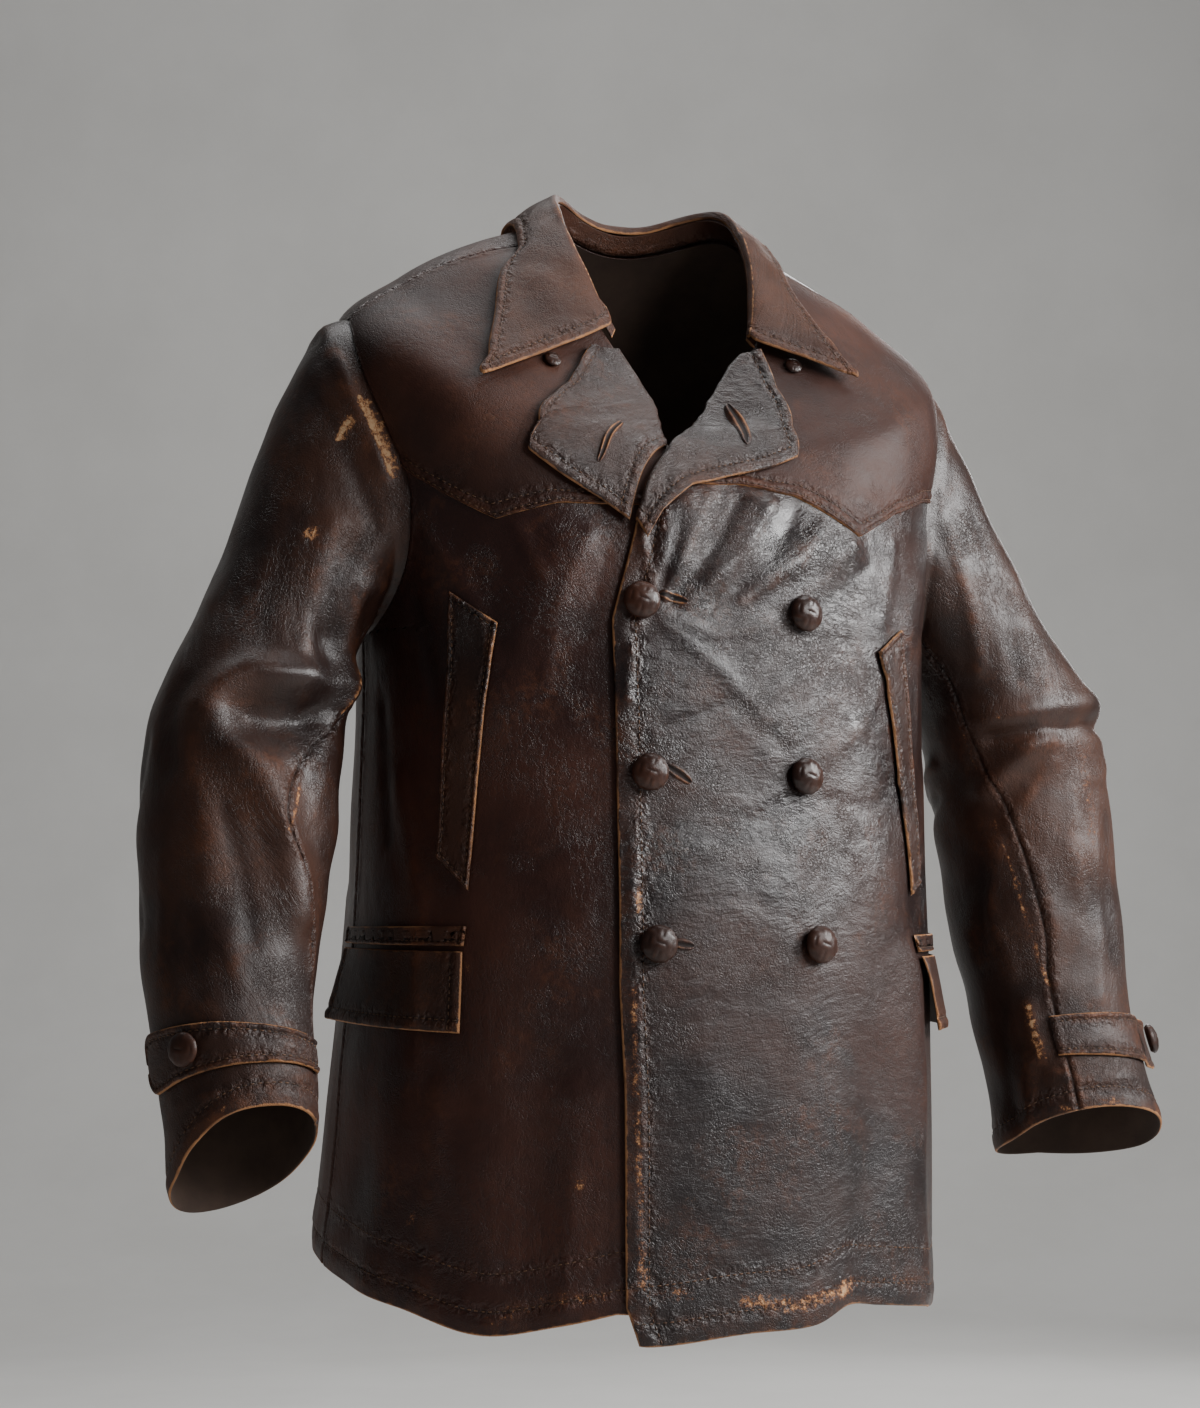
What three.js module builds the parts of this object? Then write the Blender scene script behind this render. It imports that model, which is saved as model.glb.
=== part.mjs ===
// A worn double-breasted leather coat, hollow and held as if it were worn.
// Millimetres: +Z is up, the front faces -Y and the wearer's left side is +X.
// The origin is at the base of the neck, where the shoulders carry the coat.

import * as THREE from "three";

// Driving dimensions
const LEATHER = 2; // thickness of every leather wall
const TRIM = 0.2; // each edge is cut back this much, so that seams stay open
const BUTTON_GAP = 1.2; // under each button, for its shank
const TOP_FRONT_LIFT = 4.6; // the buttoned front stands this far over the one beneath
const OVERLAP_ENDS = { from: 25, to: 60 }; // turns between which it comes down to the common form
const YOKE_STEP = 1.2; // the yokes are lapped over the fronts
const SIDE_SEAM = 93; // degrees round the body from the middle of the front
const NECK_LEVEL = 3;
const NECK_CENTRE = { x: 4, y: -3 };
const ARMHOLE = { turn: 93, halfTurn: 28, level: 1.59, halfLevel: 0.47 };
const BUTTON_RADIUS = 12;
const BUTTON_HEIGHT = 9;
const SMALL_BUTTON_RADIUS = 6;
const SMALL_BUTTON_HEIGHT = 3;
const CUFF_BUTTON_RADIUS = 10.5;
const CUFF_BUTTON_HEIGHT = 7.5;
const BUTTON_RIM_SHARE = 0.3; // of its height, where it is widest
const BUTTON_FOOT_SHARE = 0.82; // of its radius, at its flat underside

// The body form, from the hem up. Level 1 is under the arms, 2 at the shoulder tips and 3 at the neck seam.
// The ring above the neck seam only guides the roll of the buttoned front.
// Level, half width, middle, front depth, back depth, z at front, side and back, squareness, lean
const BODY_RINGS = [
  [0, 211, 16, 164, 186, -712, -681, -652, 2.15, -7],
  [0.22, 207, 11, 158, 172, -592, -577, -562, 2.15, -4],
  [0.45, 202, 5, 151, 152, -464, -457, -450, 2.15, -1],
  [0.7, 199, 3, 142, 144, -362, -360, -358, 2.2, 0],
  [1, 198, 2, 138, 143, -286, -284, -282, 2.25, 0],
  [1.5, 200, 1, 128, 138, -205, -180, -172, 2.35, 0],
  [2, 214, 0, 111, 112, -152, -62, -82, 2.55, -3],
  [2.35, 171, -1, 100, 94, -138, -23, -34, 2.4, -1],
  [2.7, 118, -2, 88, 74, -128, 2, 2, 2.2, 2],
  [3, 73, -3, 79, 54, -117, 14, 22, 2, 4],
  [3.4, 34, -5, 52, 34, -84, 22, 30, 2, 6],
];

// How far the hem rises above the lowest ring, by turn: the wearer's left, which laps over, and the right
const HEM_LEFT = [
  [-22, 4],
  [-17, 0],
  [0, 7],
  [14, 9],
  [22, 18],
  [30, 14],
  [39, 8],
  [60, -6],
  [90, 0],
  [180, 4],
];
const HEM_RIGHT = [
  [-180, 4],
  [-108, 9],
  [-80, 8],
  [-63, 5],
  [-46, -2],
  [-32, 9],
  [-22, 19],
];
const HEM_FADE = 0.35;

// Where each front ends, in degrees past the middle towards its own side, by level
const EDGE_TOP = [
  [0, -18.5],
  [0.04, -20.8],
  [0.28, -21.6],
  [0.4, -22.9],
  [1.15, -23.3],
  [1.28, -21.5],
  [1.55, -17.6],
  [1.8, -13.4],
  [2.04, -7.6],
  [2.34, -5.9],
  [2.89, -4.1],
  [3, -1],
];
const EDGE_UNDER = [
  [0, -20],
  [1.2, -20],
  [1.55, -10],
  [1.8, -3],
  [2.12, 6.5],
  [2.32, 9.4],
  [2.6, 13],
  [2.86, 18],
  [3, 31],
];

// Top edge of each yoke: share of the way from the front edge to the armhole, level
const NECK_LEFT = [
  [0, 3],
  [0.07, 3.11],
  [0.22, 3.16],
  [0.4, 3.13],
  [0.48, 3.03],
  [0.56, 3],
  [1, 3],
];
const NECK_RIGHT = [
  [0, 3],
  [1, 3],
];

// The pointed lower edge of each yoke: share of the way from the front edge to the armhole, level
const YOKE_EVERYWHERE = 1.9; // above this level every front panel is a yoke
const YOKE_LEFT = [
  [0, 1.79],
  [0.2, 1.84],
  [0.355, 1.76],
  [0.47, 1.64],
  [0.56, 1.54],
  [0.68, 1.64],
  [0.82, 1.67],
  [1, 1.65],
];
const YOKE_RIGHT = [
  [0, 1.63],
  [0.3, 1.67],
  [0.53, 1.62],
  [0.72, 1.52],
  [0.86, 1.59],
  [1, 1.65],
];

// Levels of the rows that the side seam, armhole and shoulder seam share
const LOW_LEVELS = [0, 0.05, 0.14, 0.25, 0.36, 0.48, 0.6, 0.73, 0.86, 0.98, 1.12];
const ARM_LEVELS = [1.14, 1.2, 1.32, 1.48, 1.65];
const YOKE_LEVELS = [1.65, 1.75, 1.85, 1.94, 2, 2.04, 2.06, 2.2, 2.4, 2.6, 2.78, 2.9, 3];

// Columns across each panel, and stations of the sleeves' rows
const FRONT_COLUMNS = 12;
const BACK_COLUMNS = 16;
const UPPER_COLUMNS = 16;
const UNDER_COLUMNS = 8;
const COLLAR_COLUMNS = 28;
const SLEEVE_ROWS = [
  0, 0.08, 0.2, 0.36, 0.54, 0.75, 1, 1.3, 1.6, 1.85, 2.1, 2.35,
  2.6, 2.85, 3.1, 3.4, 3.8, 4.3, 4.9, 5.6, 6.3, 7.1, 8,
];

// Soft ridges and hollows of the body: turn and level at both ends, width and height
const BODY_FOLDS = [
  { from: [-30, 1.42], to: [-46, 0.9], width: 20, height: 3 },
  { from: [-64, 1.5], to: [-54, 1.15], width: 18, height: 3.5 },
  { from: [62, 1.5], to: [48, 1.2], width: 18, height: 4 },
  { from: [26, 0.02], to: [29, 0.3], width: 22, height: -4 },
  { from: [42, 0], to: [44, 0.4], width: 24, height: 6 },
  { from: [-70, 0], to: [-66, 0.34], width: 26, height: 5 },
  { from: [-38, 0], to: [-36, 0.3], width: 22, height: -4 },
  { from: [150, 1.7], to: [128, 1.1], width: 20, height: 5 },
  { from: [-150, 1.7], to: [-128, 1.1], width: 20, height: 5 },
  { from: [165, 0.05], to: [168, 0.6], width: 30, height: 6 },
  { from: [-150, 0], to: [-154, 0.5], width: 28, height: 5 },
];

// Pulls of the buttoned front towards its top button, which lift it off the front beneath
const TOP_FRONT_FOLDS = [
  { from: [-6, 1.72], to: [-11, 1.4], width: 13, height: 4 },
  { from: [8, 1.7], to: [-3, 1.36], width: 12, height: 4.5 },
  { from: [26, 1.5], to: [6, 1.38], width: 14, height: 4 },
];

// The sleeves hang on stations from under the armhole down to the hem.
// Station, x, y, z, outward half, inward half, front half, back half, outward lean, forward lean
const SLEEVE_RIGHT = [
  [1, 262, -2, -275, 57, 50, 58, 60, 21, 8],
  [2, 277, -10, -314, 64, 58, 60, 62, 19, 12],
  [3, 287, -20, -352, 66, 60, 60, 62, 12, 16],
  [4, 296, -36, -406, 64, 60, 58, 60, 9, 17],
  [5, 306, -55, -467, 56, 54, 54, 56, 6, 18],
  [6, 309, -70, -515, 50, 48, 50, 52, 2, 18],
  [7, 308, -81, -552, 46, 46, 50, 52, -4, 24],
  [8, 308, -93, -598, 45, 46, 52, 56, -12, 31],
];
const SLEEVE_LEFT = [
  [1, 262, 0, -268, 58, 48, 56, 60, 25, 4],
  [2, 285, 2, -306, 65, 58, 60, 62, 22, 2],
  [3, 296, 4, -346, 64, 60, 60, 62, 10, 8],
  [4, 300, -4, -402, 62, 60, 58, 60, 3, 11],
  [5, 304, -15, -467, 59, 60, 52, 56, 1, 12],
  [6, 307, -26, -519, 55, 54, 49, 52, 0, 13],
  [7, 311, -33, -553, 56, 54, 51, 54, 0, 14],
  [8, 316, -41, -596, 58, 56, 54, 56, 2, 15],
];

// Way that the top of each sleeve leaves the armhole: outwards and up. The right one is puffed
const SLEEVE_HEAD_RIGHT = [84, -6];
const SLEEVE_HEAD_LEFT = [50, -58];
const SLEEVE_FOOT = [22, -52];
const SLEEVE_ARRIVAL = { foot: 50, head: 150 }; // how gently it joins the first station
const SLEEVE_SET_IN = 1.2; // degrees that the sleeve's loop is inside the armhole's edge
const SLEEVE_HEAD_LIFT = 3; // how far that loop stands off the body form
const SLEEVE_SQUARENESS = 2.2;

// Where the two seams of each sleeve run, in degrees round it from its front, by station
const FRONT_SEAM_RIGHT = [
  [0, -58],
  [2, -50],
  [3.8, -10],
  [4.6, -33],
  [5.7, -58],
  [8, -60],
];
const FRONT_SEAM_LEFT = [
  [0, -60],
  [2.4, -52],
  [3.7, -37],
  [4.9, -24],
  [5.5, -27],
  [8, -27],
];
const BACK_SEAM = 205;

const SLEEVE_FOLDS_RIGHT = [
  { from: [-66, 1.9], to: [-22, 2.1], width: 12, height: 7 },
  { from: [-22, 2.1], to: [55, 2.2], width: 13, height: 9 },
  { from: [55, 2.3], to: [11, 3.1], width: 13, height: 8 },
  { from: [11, 3.1], to: [-14, 4], width: 14, height: 8 },
  { from: [-14, 4], to: [-27, 4.7], width: 14, height: 5 },
  { from: [-36, 2.6], to: [26, 2.65], width: 15, height: -11 },
  { from: [150, 2.4], to: [210, 2.9], width: 16, height: 6 },
  { from: [150, 3.1], to: [215, 3.3], width: 14, height: -6 },
];
const SLEEVE_FOLDS_LEFT = [
  { from: [75, 2.4], to: [-47, 2.6], width: 13, height: 7 },
  { from: [62, 2.9], to: [-47, 3], width: 10, height: -7 },
  { from: [2, 3.1], to: [-36, 3.6], width: 12, height: 6 },
  { from: [150, 2.3], to: [210, 2.8], width: 16, height: 6 },
  { from: [150, 3], to: [215, 3.2], width: 14, height: -6 },
];

// Lapels, from the neck down: share of the length, turn and level of the roll, turn and level of the edge
const LAPEL_LEFT = [
  [0, 41, 3.08, 46, 2.97],
  [0.15, 32.2, 3.13, 33.8, 2.78],
  [0.3, 20.4, 3.14, 21.8, 2.37],
  [0.42, 7.1, 3.09, 16.5, 2.01],
  [0.5, -1.5, 2.93, 11.4, 1.95],
  [0.62, -5.4, 2.45, 2.1, 1.87],
  [0.76, -8.4, 2.02, -6.2, 1.77],
  [0.88, -13.4, 1.78, -12.6, 1.62],
  [1, -17.4, 1.56, -16.4, 1.48],
];
const LAPEL_RIGHT = [
  [0, 43, 2.99, 45.7, 2.83],
  [0.12, 38, 2.98, 40.1, 2.66],
  [0.25, 32, 2.96, 35.6, 2.48],
  [0.42, 23, 2.89, 31, 2],
  [0.52, 19, 2.82, 33.7, 1.84],
  [0.68, 14, 2.62, 28.3, 1.74],
  [0.85, 10.4, 2.33, 23, 1.66],
  [1, 8.8, 2.14, 18.6, 1.57],
];

const LAPEL_LIFT = 3.4;
const LAPEL_CURL = 1.4;

// The collar's outer edge: turn round the neck, then turn, level and lift on the body
const COLLAR_EDGE = [
  [-180, -180, 2.64, 7],
  [-140, -142, 2.69, 7],
  [-110, -110, 2.83, 6],
  [-88, -84.8, 2.81, 6],
  [-78, -76, 2.69, 6.5],
  [-65, -60.4, 2.52, 7.5],
  [-54, -49.4, 2.31, 8],
  [-47, -44.2, 2.16, 8],
  [47, 47.5, 2.42, 11.5],
  [54, 53.8, 2.57, 11],
  [66, 65.7, 2.75, 9],
  [80, 78.5, 2.83, 7],
  [110, 110, 2.8, 7],
  [140, 141, 2.71, 7],
  [180, 180, 2.64, 7],
];
const COLLAR_END = 47;
const STAND_HEIGHT = { front: 11, back: 17 };
const STAND_FULL_FROM = 96; // turn from which the stand has its height at the back
const STAND_INSET = 0.3; // the stand leans towards the neck by this share of its height
const COLLAR_END_BOW = 3; // degrees that the collar's front edges bow forwards
const COLLAR_END_SET = { left: 0, right: 8 }; // degrees that their tops are set back
const COLLAR_END_FADE = 6; // power that keeps both of these near the ends
const FOLD_SECTION = [
  [-3.5, -2.1],
  [0, 3.2],
  [5.6, 1],
]; // the fold's curve from inside to outside, away from the neck and up
const FOLD_GAP = 7; // the stand stops this far under the fold, whose line is steep at the sides
const BELLY_SHARE = 0.45; // where the fall is fullest
const COLLAR_FOOT_GAP = 0.8; // between the stand and the neck seam

// Pieces laid on the fronts: corners as turn and level, outer and inner, top and bottom
const WELT_LEFT = { top: [41.5, 1.17, 33.5, 1.08], bottom: [50, 0.54, 44, 0.52] };
const WELT_RIGHT = { top: [55.3, 1.24, 45, 1.13], bottom: [59.3, 0.57, 51.8, 0.52] };
const BAND_LEFT = { top: [90, 0.462, 44.5, 0.462], bottom: [90, 0.436, 45, 0.438] };
const BAND_RIGHT = { top: [96, 0.462, 52, 0.47], bottom: [96, 0.438, 52.4, 0.443] };
const FLAP_LEFT = { top: [90, 0.43, 46, 0.432], bottom: [92, 0.335, 48, 0.34] };
const FLAP_RIGHT = { top: [97, 0.432, 52.6, 0.436], bottom: [97, 0.34, 52.2, 0.34] };
const WELT_LIFT = 3.2;
const BAND_LIFT = 3.2;
const FLAP_LIFT_LEFT = { top: 4, inner: 11, outer: 22 };
const FLAP_LIFT_RIGHT = { top: 3.6, inner: 4.2, outer: 12 };

// Buttons: turn and level on the body
const FRONT_BUTTONS = [
  [-18, 1.22],
  [-17.2, 0.72],
  [-16.2, 0.45],
  [15, 1.2],
  [13.8, 0.72],
  [15.4, 0.45],
];
const COLLAR_BUTTONS = { left: [45.8, 2.76], right: [-43.5, 2.57] };

// Cuff straps: degrees round the sleeve from the seam to the tip, stations of both edges at seam and tip,
// how far the tip stands off, and the button's place round the sleeve and its gap over the strap
const STRAP_RIGHT = {
  from: -56,
  to: 106,
  top: [6.5, 6.05],
  bottom: [7.15, 6.95],
  stand: 2,
  button: 52,
  gap: 2,
};
const STRAP_LEFT = {
  from: -33,
  to: 90,
  top: [6.05, 5.98],
  bottom: [6.9, 7.05],
  stand: 14,
  button: 57,
  gap: 4,
};
const STRAP_LIFT = 3;
const STRAP_LOOSE_FROM = 0.76; // share of the strap after which it stands off the sleeve
const STRAP_ROUND_FROM = 0.9; // share of the strap after which its end is rounded
const STRAP_ROUND_TO = 1.015; // just past the end, which so stays a little blunt
const STRAP_END_COLUMNS = [0.93, 0.96, 0.985, 1];

// Finishes
const BODY_LEATHER = { color: 0x3a211c, roughness: 0.48 };
const TOP_LEATHER = { color: 0x2e2120, roughness: 0.38 };
const YOKE_LEATHER = { color: 0x42251d, roughness: 0.58 };
const COLLAR_LEATHER = { color: 0x54301f, roughness: 0.6 };
const SLEEVE_LEATHER = { color: 0x352019, roughness: 0.5 };
const TRIM_LEATHER = { color: 0x2b1c1a, roughness: 0.45 };
const BUTTON_LEATHER = { color: 0x2c1611, roughness: 0.32 };

const degrees = THREE.MathUtils.degToRad;
const lerp = THREE.MathUtils.lerp;
const smoothstep = THREE.MathUtils.smoothstep;
const UP = new THREE.Vector3(0, 0, 1);

// A smooth curve through rows of [place, value, ...]: gives the values at a place
function curveThrough(rows) {
  const last = rows.length - 1;
  const slopes = rows.map((row, k) => {
    const before = rows[Math.max(k - 1, 0)];
    const after = rows[Math.min(k + 1, last)];
    return row.map((_, i) => (after[i] - before[i]) / (after[0] - before[0]));
  });
  return (place) => {
    let k = 0;
    while (k < last - 1 && place > rows[k + 1][0]) k += 1;
    const width = rows[k + 1][0] - rows[k][0];
    const t = (place - rows[k][0]) / width;
    const start = 2 * t ** 3 - 3 * t ** 2 + 1;
    const leave = (t ** 3 - 2 * t ** 2 + t) * width;
    const arrive = (t ** 3 - t ** 2) * width;
    const blend = (value, i) => {
      const straight = value * start + rows[k + 1][i] * (1 - start);
      return straight + slopes[k][i] * leave + slopes[k + 1][i] * arrive;
    };
    return rows[k].map(blend).slice(1);
  };
}

// Straight runs between rows of [place, value, ...], for outlines with corners
function cornersThrough(rows) {
  return (place) => {
    let k = 0;
    while (k < rows.length - 2 && place > rows[k + 1][0]) k += 1;
    const t = (place - rows[k][0]) / (rows[k + 1][0] - rows[k][0]);
    return rows[k].map((value, i) => lerp(value, rows[k + 1][i], t)).slice(1);
  };
}

const bodyRing = curveThrough(BODY_RINGS);
const hemLeft = curveThrough(HEM_LEFT);
const hemRight = curveThrough(HEM_RIGHT);

// Height that the hem's own line adds to a point near it
function hemRise(turn, level, over) {
  if (level >= HEM_FADE) return 0;
  const side = turn > 180 ? turn - 360 : turn;
  const left = over || side > 0;
  const first = left ? HEM_LEFT[0][0] : -180;
  const last = left ? 180 : HEM_RIGHT[HEM_RIGHT.length - 1][0];
  const [rise] = (left ? hemLeft : hemRight)(THREE.MathUtils.clamp(side, first, last));
  return rise * (1 - level / HEM_FADE) ** 2;
}

// How far a rounded square of half size 1 reaches in a direction; squareness 2 is a circle
function squaredReach(cos, sin, squareness) {
  return (Math.abs(cos) ** squareness + Math.abs(sin) ** squareness) ** (-1 / squareness);
}

// The body form before its folds: a squared ellipse at each level, with its own heights at front, side and back
function bodyPoint(turn, level, over = false) {
  const [half, middle, front, back, zFront, zSide, zBack, square, lean] = bodyRing(level);
  const cos = Math.cos(degrees(turn));
  const sin = Math.sin(degrees(turn));
  const reach = squaredReach(cos, sin, square);
  const depth = cos > 0 ? middle + front : back - middle;
  const z = zSide + ((zFront - zBack) / 2) * cos + ((zFront + zBack) / 2 - zSide) * cos * cos;
  return new THREE.Vector3(
    lean + half * reach * sin,
    middle - depth * reach * cos,
    z + hemRise(turn, level, over),
  );
}

function bodyNormal(turn, level, over = false) {
  const round = bodyPoint(turn + 0.2, level, over).sub(bodyPoint(turn - 0.2, level, over));
  const upward = bodyPoint(turn, level + 0.005, over).sub(bodyPoint(turn, level - 0.005, over));
  return round.cross(upward).normalize();
}

// Distance from a point to the straight run between two others
function distanceToRun(point, start, end) {
  const nearest = new THREE.Line3(start, end).closestPointToPoint(point, true, new THREE.Vector3());
  return nearest.distanceTo(point);
}

function foldHeight(point, folds) {
  let height = 0;
  for (const fold of folds) {
    const distance = distanceToRun(point, fold.start, fold.end);
    height += fold.height * Math.exp(-((distance / fold.width) ** 2));
  }
  return height;
}

function placeFolds(folds, surface) {
  return folds.map((fold) => ({ ...fold, start: surface(...fold.from), end: surface(...fold.to) }));
}

const bodyFolds = placeFolds(BODY_FOLDS, bodyPoint);
const topFrontFolds = [...bodyFolds, ...placeFolds(TOP_FRONT_FOLDS, bodyPoint)];

// A point of the folded body form, moved out by lift, with the form's normal there
function onBody(turn, level, lift = 0, over = false) {
  const point = bodyPoint(turn, level, over);
  const normal = bodyNormal(turn, level, over);
  point.addScaledVector(normal, lift + foldHeight(point, over ? topFrontFolds : bodyFolds));
  return { point, normal };
}

// The wearer's left front laps over the right, and comes down to the common form towards its side
function overlapLift(turn) {
  return TOP_FRONT_LIFT * (1 - smoothstep(turn, OVERLAP_ENDS.from, OVERLAP_ENDS.to));
}

// How far out the leather's face is on each side, for pieces that lie on it
function panelLift(turn, level) {
  const over = turn > 0 && turn < 180 ? overlapLift(turn) : 0;
  return over + (level > YOKE_EVERYWHERE && Math.abs(turn) < 90 ? YOKE_STEP : 0);
}

function evenly(count) {
  return Array.from({ length: count + 1 }, (_, i) => i / count);
}

// Moves the outer rows and columns of a grid of points inwards, so that each seam keeps its gap
function trimGrid(rows) {
  const towards = (from, to) => to.clone().sub(from).setLength(TRIM);
  const lastRow = rows.length - 1;
  const lastColumn = rows[0].length - 1;
  for (const row of rows) {
    row[0].add(towards(row[0], row[1]));
    row[lastColumn].add(towards(row[lastColumn], row[lastColumn - 1]));
  }
  for (let i = 0; i <= lastColumn; i += 1) {
    rows[0][i].add(towards(rows[0][i], rows[1][i]));
    rows[lastRow][i].add(towards(rows[lastRow][i], rows[lastRow - 1][i]));
  }
}

// A closed leather wall: place(u, v) gives a point of its outer face and the normal there
function leatherWall(place, columns, rows, thickness = LEATHER) {
  const placed = rows.map((v) => columns.map((u) => place(u, v)));
  const outer = placed.map((row) => row.map(({ point }) => point));
  trimGrid(outer);
  const inner = outer.map((row, j) =>
    row.map((point, i) => point.clone().addScaledVector(placed[j][i].normal, -thickness)),
  );
  return closedSheet(outer, inner);
}

// Joins two grids of points along their four edges into one closed body
function closedSheet(outer, inner) {
  const wide = outer[0].length;
  const high = outer.length;
  const count = wide * high;
  const at = (j, i) => j * wide + i;
  const index = [];
  const quad = (a, b, c, d) => index.push(a, b, c, a, c, d);
  for (let j = 0; j < high - 1; j += 1) {
    for (let i = 0; i < wide - 1; i += 1) {
      quad(at(j, i), at(j, i + 1), at(j + 1, i + 1), at(j + 1, i));
      quad(count + at(j, i), count + at(j + 1, i), count + at(j + 1, i + 1), count + at(j, i + 1));
    }
  }
  const rim = [];
  for (let i = 0; i < wide - 1; i += 1) rim.push(at(0, i));
  for (let j = 0; j < high - 1; j += 1) rim.push(at(j, wide - 1));
  for (let i = wide - 1; i > 0; i -= 1) rim.push(at(high - 1, i));
  for (let j = high - 1; j > 0; j -= 1) rim.push(at(j, 0));
  rim.forEach((here, k) => {
    const next = rim[(k + 1) % rim.length];
    quad(here, count + here, count + next, next);
  });
  const positions = [...outer.flat(), ...inner.flat()].flatMap((point) => point.toArray());
  return facingOut(positions, index);
}

// A geometry from points and triangles, turned round if it encloses a negative volume
function facingOut(positions, index) {
  const corner = (k) => new THREE.Vector3().fromArray(positions, index[k] * 3);
  let volume = 0;
  for (let k = 0; k < index.length; k += 3) {
    volume += corner(k).dot(corner(k + 1).cross(corner(k + 2)));
  }
  const geometry = new THREE.BufferGeometry();
  geometry.setAttribute("position", new THREE.Float32BufferAttribute(positions, 3));
  geometry.setIndex(volume < 0 ? index.reverse() : index);
  geometry.computeVertexNormals();
  return geometry;
}

const coat = new THREE.Group();

function addPiece(name, geometry, finish) {
  const material = new THREE.MeshStandardMaterial({ ...finish, metalness: 0 });
  const mesh = new THREE.Mesh(geometry, material);
  mesh.name = name;
  coat.add(mesh);
  return mesh;
}

// Turn of the armhole's edge at a level, measured from the front on the side of the given sign
function armholeTurn(level, towardsBack) {
  const off = (level - ARMHOLE.level) / ARMHOLE.halfLevel;
  if (off < -1) return SIDE_SEAM;
  if (off > 1) return 90;
  const half = ARMHOLE.halfTurn * Math.sqrt(1 - off * off);
  return towardsBack ? Math.max(ARMHOLE.turn + half, 90) : Math.min(ARMHOLE.turn - half, 90);
}

// A panel between a front edge and the side: both yokes and both fronts
function frontPanel(side, edge, bottom, top, levels, columns, lift) {
  const over = side > 0;
  const low = levels[0];
  const high = levels[levels.length - 1];
  const place = (u, v) => {
    const level = lerp(bottom(u), top(u), (v - low) / (high - low));
    const turn = side * lerp(edge(level)[0], armholeTurn(level, false), u);
    return onBody(turn, level, lift + (over ? overlapLift(turn) : 0), over);
  };
  return leatherWall(place, columns, levels);
}

// Where an outline of [place, level] rows is lowest: the yoke's point
function lowestPlace(rows) {
  return rows.reduce((low, row) => (row[1] < low[1] ? row : low))[0];
}

// Even columns on each side of a place, which gets a column of its own
function columnsAround(place) {
  const before = Math.round(FRONT_COLUMNS * place);
  const after = FRONT_COLUMNS - before;
  const start = evenly(before).map((u) => u * place);
  const rest = evenly(after).map((u) => place + u * (1 - place));
  return [...start, ...rest.slice(1)];
}

function addFronts() {
  const levels = [...LOW_LEVELS, ...ARM_LEVELS];
  const hem = () => 0;
  const sides = [
    { name: "left", side: 1, ends: EDGE_TOP, yoke: YOKE_LEFT, neck: NECK_LEFT, finish: TOP_LEATHER },
    { name: "right", side: -1, ends: EDGE_UNDER, yoke: YOKE_RIGHT, neck: NECK_RIGHT, finish: BODY_LEATHER },
  ];
  for (const { name, side, ends, yoke, neck, finish } of sides) {
    const edge = cornersThrough(ends);
    const neckLine = cornersThrough(neck);
    const neckSeam = (u) => neckLine(u)[0];
    const yokeLine = cornersThrough(yoke);
    const seam = (u) => yokeLine(u)[0];
    const columns = columnsAround(lowestPlace(yoke));
    addPiece(`front_${name}`, frontPanel(side, edge, hem, seam, levels, columns, 0), finish);
    const yokePanel = frontPanel(side, edge, seam, neckSeam, YOKE_LEVELS, columns, YOKE_STEP);
    addPiece(`yoke_${name}`, yokePanel, YOKE_LEATHER);
  }
}

function addBack() {
  const levels = [...LOW_LEVELS, ...ARM_LEVELS, ...YOKE_LEVELS.slice(1)];
  const place = (u, level) => {
    const side = armholeTurn(level, true);
    return onBody(lerp(side, 360 - side, u), level);
  };
  addPiece("back", leatherWall(place, evenly(BACK_COLUMNS), levels), BODY_LEATHER);
}

// The armhole as a loop: 0 degrees at its front, 90 at the shoulder tip and 180 at its back
function armholePoint(side, round) {
  const turn = ARMHOLE.turn - (ARMHOLE.halfTurn - SLEEVE_SET_IN) * Math.cos(degrees(round));
  const level = ARMHOLE.level + (ARMHOLE.halfLevel - SLEEVE_SET_IN / 100) * Math.sin(degrees(round));
  return onBody(side * turn, level, SLEEVE_HEAD_LIFT).point;
}

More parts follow.
